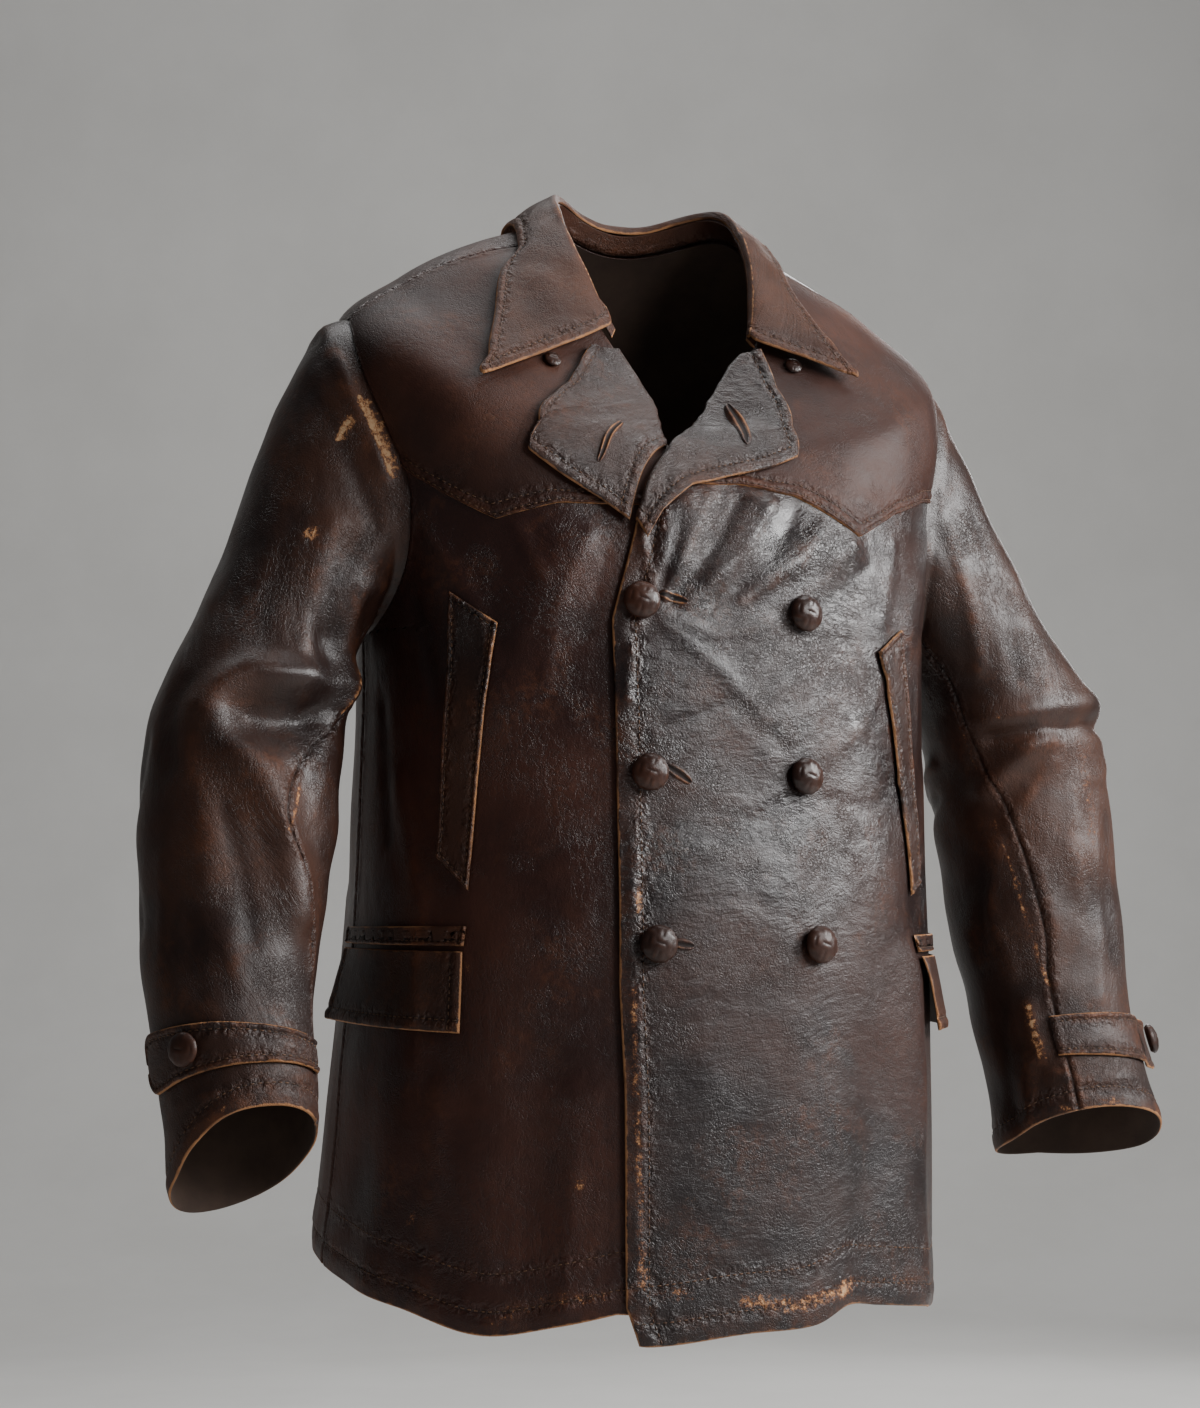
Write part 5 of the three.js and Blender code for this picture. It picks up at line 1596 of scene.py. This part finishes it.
class Sleeve:
    """One sleeve of two pieces, with its strap and button."""

    def __init__(self, body: BodyForm, finishes: Wardrobe, plan: SleevePlan, strap: StrapPlan) -> None:
        """Builds the sleeve's form."""
        self.form, self.finishes, self.plan, self.strap = SleeveForm(body, plan), finishes, plan, strap

    def build(self) -> None:
        """Makes both pieces, the strap and its button."""
        of, name = self.finishes.of, self.plan.name
        rows = 8 * np.interp(places(600, 3.8, 8, 17), (0, 0.36, 0.6, 1), (0, 1.6 / 8, 3.4 / 8, 1))
        for kind, width, ends in (("upper", 260, (0.0, BACK_SEAM)), ("under", 130, (BACK_SEAM - 360, 0.0))):
            u, station = np.meshgrid(places(width, 3.8, 8, 8), rows)
            seam = curve_through(self.plan.seam, station)[..., 0]
            start, end = (seam, ends[1]) if kind == "upper" else (ends[0], seam)
            turn = start + (end - start) * u
            cut = curve_through(self.plan.hem, np.where(turn > 180, turn - 360, turn))[..., 0] - 8
            grid = self.form.lay(turn, station + cut * smooth(station, 7.1, 8))
            LeatherPiece(
                f"coat_sleeve_{name}_{kind}", grid,
                Sides(Side(Edge.SEAM), Side(Edge.SEAM), Side(), Side(Edge.FREE, (14.0,), 0.6)),
                of[Finish.SLEEVE], of[Finish.LINING], (f"sleeve_{name}_{kind}",), "sleeve_leather", Held.HUNG,
                ("back", f"yoke_{name}"),
            ).build(of[Finish.THREAD])
        self._build_strap()

    def _build_strap(self) -> None:
        """Makes the strap, whose end is half an ellipse, and its button."""
        of, name, plan = self.finishes.of, self.plan.name, self.strap
        u, v = np.meshgrid(places(150, 2.4, 8, 10), places(44, 2.0, 10, 10))
        past = np.clip((u - 0.9) / 0.1025, 0, 0.9999)
        narrow = np.sqrt(1 - past**2)
        top = plan.top[0] + (plan.top[1] - plan.top[0]) * u
        bottom = plan.bottom[0] + (plan.bottom[1] - plan.bottom[0]) * u
        station = (top + bottom) / 2 + (bottom - top) / 2 * narrow * (1 - 2 * v)
        stand = plan.stand * smooth(u, 0.76, 1)
        grid = self.form.lay(plan.start + (plan.end - plan.start) * u, station, 3 + stand)
        sewn = Side(Edge.FREE, (4.5,))
        LeatherPiece(
            f"coat_cuff_strap_{name}", grid, Sides(Side(Edge.SEAM), Side(Edge.FREE), sewn, sewn),
            of[Finish.TRIM], of[Finish.LINING], (f"cuff_strap_{name}",), "trim_leather", Held.LAID,
            (f"coat_sleeve_{name}_upper",),
        ).build(of[Finish.THREAD])
        share = (plan.button - plan.start) / (plan.end - plan.start)
        middle = sum(start + (end - start) * share for start, end in (plan.top, plan.bottom)) / 2
        lift = 3 + plan.stand * float(smooth(share, 0.76, 1)) + plan.gap
        spot = self.form.lay(np.array(plan.button), np.array(middle), lift)
        Button(f"coat_cuff_button_{name}", spot.points, spot.normals, 10.5, 7.5,
               f"cuff_button_{name}").build(of[Finish.BUTTON])


@dataclass
class Button:
    """A domed button plaited from strips of leather.

    Strips run both ways across the dome. Each is a rounded band, and the two kinds pass over and
    under each other as a chequered wave of sines.
    """

    name: str
    point: Array
    normal: Array
    radius: float
    height: float
    node: str
    strip: float = 8.0

    def build(self, leather: bpy.types.Material) -> bpy.types.Object:
        """Makes the dome, its flat underside and its material's values.

        Args:
            leather: The button's leather.

        Returns:
            The button.
        """
        around = np.linspace(0, 2 * np.pi, 56)
        dome = np.linspace(0, np.pi / 2, 22)
        rim = self.height * 0.3
        reach = np.concatenate([[0.001, 0.82], np.cos(dome)]) * self.radius
        reach[-1] = 0.001
        rise = np.concatenate([[0, 0], rim + (self.height - rim) * np.sin(dome)])
        angle, row = np.meshgrid(around, np.arange(len(reach)))
        r, z = reach[row], rise[row]
        x, y = r * np.cos(angle), r * np.sin(angle)
        lift = np.zeros_like(x)
        weave = np.cos(np.pi * x / self.strip) * np.cos(np.pi * y / self.strip)
        bands = [np.sqrt(np.abs(np.cos(np.pi * (q / self.strip - 0.5)))) for q in (y, x)]
        high = np.maximum(bands[0] * (1 + weave), bands[1] * (1 - weave))
        lift[2:] = (high[2:] - 1.0) * 0.035 * self.radius
        slope = np.concatenate([[0, 0], dome])[row]
        x, y = x + lift * np.cos(slope) * np.cos(angle), y + lift * np.cos(slope) * np.sin(angle)
        z = z + lift * np.sin(slope)
        up = unit(self.normal)
        side = unit(np.cross(up, np.array([0.3, 0.1, 1.0])))
        other = np.cross(up, side)
        points = self.point + x[..., None] * side + y[..., None] * other + z[..., None] * up
        rows, columns = x.shape
        made = make_mesh(self.name, points.reshape(-1, 3), grid_faces(rows, columns), [leather])
        # The weave's hollows get a ridge below 0, which paints shade into them through the crease-shade mask;
        # the crests are rubbed paler
        set_value(made.data, "ridge", (high - 0.9) * 2.2)
        set_value(made.data, "edge", np.full(x.shape, FAR_OFF))
        set_value(made.data, "seam", np.full(x.shape, FAR_OFF))
        set_value(made.data, "rub", np.zeros(x.shape))
        weld(made.data, 0.025)
        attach(made, "root")
        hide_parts(self.node)
        log.info("%s: plaited dome", self.name)
        return made


class Lapels:
    """Both turned-out lapels, each rolled round from its front's edge."""

    def __init__(self, body: BodyForm, finishes: Wardrobe) -> None:
        """Keeps the form and the finishes."""
        self.body, self.finishes = body, finishes

    def build(self) -> None:
        """Makes the lapels: a half round roll, then straight shares of the way to the edge."""
        of, roll = self.finishes.of, 2.6
        plans = (
            ("left", True, LAPEL_LEFT, TOP_FRONT_LIFT + YOKE_STEP),
            ("right", False, LAPEL_RIGHT, YOKE_STEP),
        )
        for name, over, rows, under in plans:
            side = 1 if over else -1
            columns, share = places(70, 1.9, 0, 14), places(170, 2.0, 10, 14)
            u, v = np.meshgrid(columns, share)
            values = np.moveaxis(corners_through(rows, v), -1, 0)
            turn = side * (values[0] + (values[2] - values[0]) * u)
            level = values[1] + (values[3] - values[1]) * u
            laid = self.body.lay(turn, level, under + 3.4 + 1.4 * u**2, over)
            draws = self._draws(u, v)
            normals, crease = laid.normals, laid.crease + draws
            flat = laid.points + normals * draws[..., None]
            inward = unit(flat[:, :1] - flat[:, 1:2])
            up = normals[:, :1]
            centre = flat[:, :1] - up * roll
            bend = np.linspace(-np.pi / 2, np.pi / 2, 9)[None, :-1, None]
            curl = centre + inward * np.cos(bend) * roll + up * np.sin(bend) * roll
            curl_normals = unit(inward * np.cos(bend) + up * np.sin(bend))
            points = np.concatenate([curl, flat], axis=1)
            all_normals = np.concatenate([curl_normals, normals], axis=1)
            lips = np.concatenate([np.full(curl.shape[:2], 0.6), crease], axis=1)
            sewn = Side(Edge.FREE, (8.5,), 0.35)
            LeatherPiece(
                f"coat_lapel_{name}", Laid(points, all_normals, lips, np.zeros_like(lips)),
                Sides(Side(), sewn, Side(), sewn), of[Finish.LAPEL], of[Finish.LINING], (f"lapel_{name}",),
                "trim_leather", Held.FOLDED, (f"coat_yoke_{name}",),
            ).build(of[Finish.THREAD])

    @staticmethod
    def _draws(u: Array, v: Array) -> Array:
        """Draws that fan out over the lapel from its roll: two sine waves that fade at the edges."""
        fan = np.sin(26 * v + 5 * u) + 0.7 * np.sin(47 * v - 9 * u + 1)
        return 0.35 * fan * np.sin(np.pi * np.clip(u, 0, 1)) ** 0.7 * np.sin(np.pi * v) ** 0.5


class Collar:
    """The collar's stand and the fall that turns over it."""

    # Turn where it ends, then how far its ends bow and are set back on the wearer's right and left
    END, BOW, SET = 47.0, (3.0, 3.0), (8.0, 0.0)
    # Height of the stand in front and behind, middle of the neck, and the fold's section as out and up
    STAND = (11.0, 17.0)
    NECK_MIDDLE = (4.0, -3.0, 0.0)
    SECTION = ((-3.5, -2.1), (0.0, 3.2), (5.6, 1.0))

    def __init__(self, body: BodyForm, finishes: Wardrobe) -> None:
        """Keeps the form and the finishes."""
        self.body, self.finishes = body, finishes

    def _frame(self, turn: Array) -> tuple[Array, Array, Array, Array]:
        """Works out the stand's lines.

        Args:
            turn: Degrees round the neck.

        Returns:
            Foot and fold of the stand, the level direction away from the neck, and the signed turn.
        """
        near = np.where(turn > 180, turn - 360, turn)
        foot = np.where((near > 0)[..., None], self._foot(near, True), self._foot(near, False))
        away = foot - np.array(self.NECK_MIDDLE)
        away[..., 2] = 0
        away = unit(away)
        rise = self.STAND[0] + (self.STAND[1] - self.STAND[0]) * smooth(np.abs(near), self.END, 96)
        fold = foot + np.array([0, 0, 1.0]) * rise[..., None] - away * (0.3 * rise)[..., None]
        return foot, fold, away, near

    def _foot(self, near: Array, over: bool) -> Array:
        """Points of the neck seam, a little out from the leather.

        Args:
            near: Signed degrees round the neck.
            over: True for the front that laps over.

        Returns:
            The points.
        """
        base = self.body.plain(near, NECK_LEVEL, over)
        normal = self.body.normal(near, NECK_LEVEL, over)
        return base + normal * (panel_lift(near, NECK_LEVEL) + 0.8)[..., None]

    def fall_point(self, turn: Array, v: Array) -> Array:
        """Points of the fall: a smooth line through the fold's section, the belly and the outer edge.

        Args:
            turn: Degrees round the neck.
            v: Share of the way, 0 to 1.

        Returns:
            The points.
        """
        _, fold, away, near = self._frame(turn)
        edge_turn, edge_level, edge_lift = np.moveaxis(curve_through(COLLAR_EDGE, near), -1, 0)
        left = self.body.lay(edge_turn, edge_level, edge_lift, True).points
        right = self.body.lay(edge_turn, edge_level, edge_lift, False).points
        edge = np.where((near > 0)[..., None], left, right)
        up = np.array([0, 0, 1.0])
        inner, crest, outer = (fold + away * out + up * rise for out, rise in self.SECTION)
        belly = outer + (edge - outer) * 0.45 + away + up
        stops = np.stack([inner, crest, outer, belly, edge])
        lengths = np.sqrt(np.linalg.norm(np.diff(stops, axis=0), axis=-1))
        knots = np.concatenate([np.zeros_like(lengths[:1]), np.cumsum(lengths, axis=0)])
        span = v * (len(stops) - 1)
        k = np.clip(span.astype(int), 0, len(stops) - 2)
        return self._through(stops, knots, k, span - k)

    @staticmethod
    def _through(stops: Array, knots: Array, k: Array, t: Array) -> Array:
        """A centripetal curve through stops: a cubic between two, with slopes over root lengths.

        Args:
            stops: The stops, on the first axis.
            knots: Their places along the curve.
            k: The stop before each point.
            t: Share of the way to the next.

        Returns:
            The points.
        """
        def pick(values: Array, index: Array) -> Array:
            """Values of the stops that the index names.

            Args:
                values: Values on the stops' axis.
                index: The stop for each point.

            Returns:
                One value a point.
            """
            shaped = np.clip(index, 0, len(values) - 1)[None]
            if values.ndim > k.ndim + 1:
                shaped = shaped[..., None]
            return np.take_along_axis(values, np.broadcast_to(shaped, (1,) + values.shape[1:]), 0)[0]

        here, after = pick(stops, k), pick(stops, k + 1)
        before = np.where((k > 0)[..., None], pick(stops, k - 1), 2 * here - after)
        later = np.where((k < len(stops) - 2)[..., None], pick(stops, k + 2), 2 * after - here)
        step = np.maximum(pick(knots, k + 1) - pick(knots, k), 1e-6)[..., None]
        back = np.where(k > 0, pick(knots, k) - pick(knots, k - 1), step[..., 0])[..., None]
        ahead = np.where(k < len(stops) - 2, pick(knots, k + 2) - pick(knots, k + 1), step[..., 0])
        ahead = ahead[..., None]
        leave = ((here - before) / back - (after - before) / (back + step) + (after - here) / step) * step
        arrive = ((after - here) / step - (later - here) / (step + ahead) + (later - after) / ahead) * step
        return cubic(here, leave, after, arrive, t[..., None])

    def stand_point(self, turn: Array, v: Array) -> Array:
        """Points of the stand: straight from just inside the neck seam to under the fold.

        Args:
            turn: Degrees round the neck.
            v: Share of the way, 0 to 1.

        Returns:
            The points.
        """
        foot, fold, away, _ = self._frame(turn)
        top = fold + away * self.SECTION[0][0] + np.array([0, 0, 1.0]) * (self.SECTION[0][1] - 2.5)
        return (foot - away) * (1 - v[..., None]) + top * v[..., None]

    def build(self) -> None:
        """Makes the stand and the fall."""
        u, v = np.meshgrid(places(300, 3.0, 8, 8), places(24, 1.6, 4, 4))
        turn = (360 - self.END) * (1 - u) + self.END * u
        self._piece("collar_stand", self.stand_point, turn, v,
                    Sides(Side(Edge.FREE), Side(Edge.FREE), Side(Edge.SEAM), Side()))
        u, v = np.meshgrid(places(420, 3.0, 12, 12), places(86, 1.9, 0, 14))
        at = np.where(u > 0.5, 1, 0)
        back = np.array(self.SET)[at] * (1 - v) ** 2 - np.array(self.BOW)[at] * np.sin(np.pi * v)
        turn = (360 - self.END) * (1 - u) + self.END * u + np.sign(u - 0.5) * back * np.abs(2 * u - 1) ** 6
        sewn = Side(Edge.FREE, (8.5,))
        self._piece("collar_fall", self.fall_point, turn, v, Sides(sewn, sewn, Side(Edge.FREE), sewn))

    def _piece(self, name: str, surface: Surface, turn: Array, v: Array, sides: Sides) -> None:
        """Makes one collar piece from its surface, with normals from points to each side.

        Args:
            name: The piece.
            surface: Its points by turn and share.
            turn: Degrees round the neck.
            v: Share of the way, 0 to 1.
            sides: How its sides end.
        """
        around = surface(turn + 0.5, v) - surface(turn - 0.5, v)
        along = surface(turn, np.minimum(v + 0.01, 1)) - surface(turn, np.maximum(v - 0.01, 0))
        normals = -unit(np.cross(around, along))
        points = surface(turn, v)
        swell = unevenness(points, 21, 0.5, 30)
        fall = name == "collar_fall"
        worn = swell + 2.0 * bell(v - 0.3, 0.14) if fall else swell
        near = np.abs(np.where(turn > 180, turn - 360, turn))
        rub = 0.85 * bell(v - 0.27, 0.05) * (1 - smooth(near, 80, 130)) if fall else 0 * v
        of = self.finishes.of
        LeatherPiece(
            f"coat_{name}", Laid(points + normals * swell[..., None], normals, worn, rub), sides,
            of[Finish.COLLAR], of[Finish.COLLAR], (name,), "collar_leather", Held.FOLDED, ("back",),
        ).build(of[Finish.THREAD])


@dataclass(frozen=True)
class LaidPlan:
    """A piece laid on a front: corners as turn and level, outer and inner, at its top and bottom."""

    name: str
    side: int
    top: tuple[float, float, float, float]
    bottom: tuple[float, float, float, float]
    lift: tuple[float, float, float]
    size: tuple[float, float]
    stitches: float


FLAT = (3.2, 3.2, 3.2)
LAID: tuple[LaidPlan, ...] = (
    LaidPlan("welt_left", 1, (41.5, 1.17, 33.5, 1.08), (50, 0.54, 44, 0.52), FLAT, (24, 185), 4.0),
    LaidPlan("welt_right", -1, (55.3, 1.24, 45, 1.13), (59.3, 0.57, 51.8, 0.52), FLAT, (24, 190), 4.0),
    LaidPlan("pocket_band_left", 1, (90, 0.462, 44.5, 0.462), (90, 0.436, 45, 0.438), FLAT, (125, 14), 3.0),
    LaidPlan("pocket_band_right", -1, (96, 0.462, 52, 0.47), (96, 0.438, 52.4, 0.443), FLAT,
             (120, 13), 3.0),
    LaidPlan("pocket_flap_left", 1, (90, 0.43, 46, 0.432), (92, 0.335, 48, 0.34), (4, 11, 22),
             (130, 50), 8.0),
    LaidPlan("pocket_flap_right", -1, (97, 0.432, 52.6, 0.436), (97, 0.34, 52.2, 0.34), (3.6, 4.2, 12),
             (125, 48), 8.0),
)


class Pockets:
    """The welts, pocket bands and flaps laid on the fronts."""

    def __init__(self, body: BodyForm, finishes: Wardrobe) -> None:
        """Keeps the form and the finishes."""
        self.body, self.finishes = body, finishes

    def build(self) -> None:
        """Makes each piece: turn and level are straight shares between its four corners."""
        of = self.finishes.of
        for plan in LAID:
            u, v = np.meshgrid(places(plan.size[0], 2.2, 10, 10), places(plan.size[1], 2.6, 10, 10))
            out_top_turn, out_top_level, in_top_turn, in_top_level = plan.top
            out_low_turn, out_low_level, in_low_turn, in_low_level = plan.bottom
            low_turn = in_low_turn + (out_low_turn - in_low_turn) * u
            high_turn = in_top_turn + (out_top_turn - in_top_turn) * u
            low_level = in_low_level + (out_low_level - in_low_level) * u
            high_level = in_top_level + (out_top_level - in_top_level) * u
            turn = plan.side * (low_turn + (high_turn - low_turn) * v)
            level = low_level + (high_level - low_level) * v
            stand = plan.lift[1] + (plan.lift[2] - plan.lift[1]) * u**2
            lift = panel_lift(turn, level) + stand + (plan.lift[0] - stand) * v
            sewn = Side(Edge.FREE, (plan.stitches,))
            top = Side(Edge.FREE) if plan.name.startswith("pocket") else sewn
            LeatherPiece(
                f"coat_{plan.name}", self.body.lay(turn, level, lift, plan.side > 0),
                Sides(sewn, sewn, sewn, top), of[Finish.TRIM], of[Finish.LINING], (plan.name,),
                "trim_leather", Held.LAID, ("coat_front_left" if plan.side > 0 else "coat_front_right",),
            ).build(of[Finish.THREAD])


@dataclass(frozen=True)
class HolePlan:
    """A buttonhole: turn and level of its ends and middle, lift, half width, on the top front or not."""

    name: str
    start: tuple[float, float]
    middle: tuple[float, float]
    end: tuple[float, float]
    lift: float
    half: float
    over: bool


HOLES: tuple[HolePlan, ...] = (
    HolePlan("buttonhole_1", (-14.6, 1.25), (-12, 1.24), (-9.2, 1.22), 4.9, 3.0, True),
    HolePlan("buttonhole_2", (-14.0, 0.735), (-11.8, 0.72), (-9.4, 0.7), 4.9, 3.2, True),
    HolePlan("buttonhole_3", (-13.4, 0.452), (-11.6, 0.45), (-9.6, 0.448), 4.9, 2.8, True),
    HolePlan("buttonhole_lapel_left", (16.2, 2.99), (12.3, 2.67), (7.8, 2.17), 10.1, 3.8, True),
    HolePlan("buttonhole_lapel_right", (-19.9, 2.34), (-19.4, 2.06), (-21.6, 1.86), 5.6, 2.2, False),
)


class ButtonsAndHoles:
    """The fronts' buttons, the small ones under the collar, and all the buttonholes."""

    # Turn and level of each front button, and of the small ones
    FRONT: Rows = ((-18, 1.22), (-17.2, 0.72), (-16.2, 0.45), (15, 1.2), (13.8, 0.72), (15.4, 0.45))
    SMALL: tuple[tuple[str, float, float], ...] = (("left", 45.8, 2.76), ("right", -43.5, 2.57))

    def __init__(self, body: BodyForm, finishes: Wardrobe) -> None:
        """Keeps the form and the finishes."""
        self.body, self.finishes = body, finishes

    def build(self) -> None:
        """Makes them all."""
        leather = self.finishes.of[Finish.BUTTON]
        for index, (turn, level) in enumerate(self.FRONT, 1):
            spot = self.body.lay(np.array(turn), np.array(level), TOP_FRONT_LIFT + 1.2, True)
            Button(f"coat_front_button_{index}", spot.points, spot.normals, 12, 9,
                   f"front_button_{index}").build(leather)
        for name, turn, level in self.SMALL:
            lift = float(panel_lift(np.array(turn), np.array(level))) + 1.2
            spot = self.body.lay(np.array(turn), np.array(level), lift, False)
            Button(f"coat_collar_button_{name}", spot.points, spot.normals, 6, 3,
                   f"collar_button_{name}", 4.2).build(leather)
        for plan in HOLES:
            self._hole(plan)

    def _hole(self, plan: HolePlan) -> None:
        """A slit between two lips on a parabola: across it, a bell-shaped rise on each side of a sunk middle.

        Args:
            plan: The buttonhole.
        """
        along, across = np.meshgrid(np.linspace(-1, 1, 41), np.linspace(-1.6, 1.6, 25))
        half = plan.half * np.maximum(1 - along**2, 0) ** 0.4 + 0.05
        turn, level = (
            first * along * (along - 1) / 2 + middle * (1 - along**2) + last * along * (along + 1) / 2
            for first, middle, last in zip(plan.start, plan.middle, plan.end)
        )
        laid = self.body.lay(turn, level, plan.lift, plan.over)
        line, normals = laid.points, laid.normals
        ahead = unit(np.gradient(line, axis=1))
        sideways = unit(np.cross(normals, ahead))
        lips = bell(np.abs(across) - 0.8, 0.35) * np.maximum(1 - along**2, 0) ** 0.3
        height = 1.2 * lips - 0.9 * smooth(np.abs(across), 1.1, 1.6) - 0.1
        points = line + sideways * (across * half)[..., None] + normals * height[..., None]
        of = self.finishes.of
        # The closed middle of the slit gets the near-black material: painted shade that stands for the gap
        dark = (np.abs(across[:-1, :-1] + 0.065) < 0.45) & (np.abs(along[:-1, :-1]) < 0.93)
        made = make_mesh(f"coat_{plan.name}", points.reshape(-1, 3), grid_faces(*along.shape),
                         [of[Finish.LAPEL], of[Finish.SLIT_SHADE]], dark.ravel().astype(int))
        set_value(made.data, "ridge", lips * 2.5)
        set_value(made.data, "edge", 2.2 - lips * 1.7)
        set_value(made.data, "seam", np.full(along.shape, FAR_OFF))
        set_value(made.data, "rub", lips * 0.2)
        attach(made, "root")
        log.info("%s: slit with two lips", plan.name)


class Studio:
    """The camera at the photo's angle, a pale floor that sweeps up behind, and soft lights."""

    def build(self) -> None:
        """Makes them all."""
        self._camera()
        self._floor()
        self._lights()

    @staticmethod
    def _camera() -> None:
        """Puts the camera where the picture was taken from."""
        data = bpy.data.cameras.new("camera")
        data.lens, data.sensor_width, data.shift_x = 79.58, 36.0, -0.01588
        camera = bpy.data.objects.new("camera", data)
        camera.location = (-0.8729, -1.9251, -0.4774)
        camera.rotation_euler = Euler((math.radians(94.828), 0, math.radians(-24.005)))
        bpy.context.scene.collection.objects.link(camera)
        bpy.context.scene.camera = camera

    @staticmethod
    def _floor() -> None:
        """A floor that curves up into a wall: flat, then a quarter circle, then upright."""
        radius, drop = 1500.0, -1000.0
        bend = np.linspace(0, np.pi / 2, 24)
        depth = np.concatenate([[-6000, 1000], 2200 + radius * np.sin(bend), [2200 + radius]])
        height = np.concatenate([[0, 0], radius * (1 - np.cos(bend)), [6000]]) + drop
        across, row = np.meshgrid(np.linspace(-7000, 7000, 12), np.arange(len(depth)))
        points = np.stack([across, depth[row], height[row]], -1)
        turn = math.radians(-24)
        cos, sin = math.cos(turn), math.sin(turn)
        spin = np.array([[cos, -sin, 0], [sin, cos, 0], [0, 0, 1]])
        pale, paler = colour(0.56, 0.55, 0.53), colour(0.60, 0.59, 0.57)
        material = PlainFinish("Studio sweep", pale, paler, 0.9, 2, 0.05)
        floor = make_mesh("floor", points.reshape(-1, 3) @ spin.T, grid_faces(*across.shape),
                          [material.material()])

    @staticmethod
    def _lights() -> None:
        """A tall key light from the front right, weaker ones in front, above and behind, a dim surround."""
        # Name, place, width, height and power of each
        plans = (
            ("key", (1.81, -1.13, 0.56), 0.9, 1.2, 66.0),
            ("front", (1.02, -2.18, 0.74), 0.9, 1.1, 25.0),
            ("top", (0.5, 0.2, 1.7), 1.4, 1.0, 14.0),
            ("rim", (1.3, 1.5, 0.4), 0.7, 1.4, 16.0),
            ("sweep", (0.2, 1.1, 1.9), 2.6, 1.0, 34.0),
        )
        for name, place, width, height, power in plans:
            data = bpy.data.lights.new(name, "AREA")
            data.shape, data.size, data.size_y, data.energy = "RECTANGLE", width, height, power
            light = bpy.data.objects.new(name, data)
            light.location = place
            aim = Vector((0, 2.6 if name == "sweep" else 0, -0.3)) - Vector(place)
            light.rotation_euler = aim.to_track_quat("-Z", "Y").to_euler()
            bpy.context.scene.collection.objects.link(light)
        world = bpy.data.worlds.new("surround")
        world.use_nodes = True
        background = world.node_tree.nodes["Background"]
        background.inputs["Color"].default_value = (0.9, 0.92, 0.95, 1)
        background.inputs["Strength"].default_value = 0.085
        bpy.context.scene.world = world


def main() -> None:
    """Builds the coat and the studio."""
    logging.basicConfig(level=logging.INFO, format="%(name)s: %(message)s")
    body, finishes = BodyForm(), Wardrobe()
    Fronts(body, finishes).build()
    Back(body, finishes).build()
    right = SleevePlan("right", -1, SLEEVE_RIGHT, SLEEVE_FOLDS_RIGHT, SLEEVE_CREASES_RIGHT,
                       SLEEVE_RUBS_RIGHT, FRONT_SEAM_RIGHT, (84, -6), SLEEVE_HEM_RIGHT)
    left = SleevePlan("left", 1, SLEEVE_LEFT, SLEEVE_FOLDS_LEFT, SLEEVE_CREASES_LEFT,
                      SLEEVE_RUBS_LEFT, FRONT_SEAM_LEFT, (50, -58), SLEEVE_HEM_LEFT)
    Sleeve(body, finishes, right, StrapPlan(-56, 106, (6.5, 6.05), (7.15, 6.95), 2, 52, 2)).build()
    Sleeve(body, finishes, left, StrapPlan(-33, 90, (6.05, 5.98), (6.9, 7.05), 14, 57, 4)).build()
    Lapels(body, finishes).build()
    Collar(body, finishes).build()
    Pockets(body, finishes).build()
    ButtonsAndHoles(body, finishes).build()
    Studio().build()


if __name__ == "__main__":
    main()
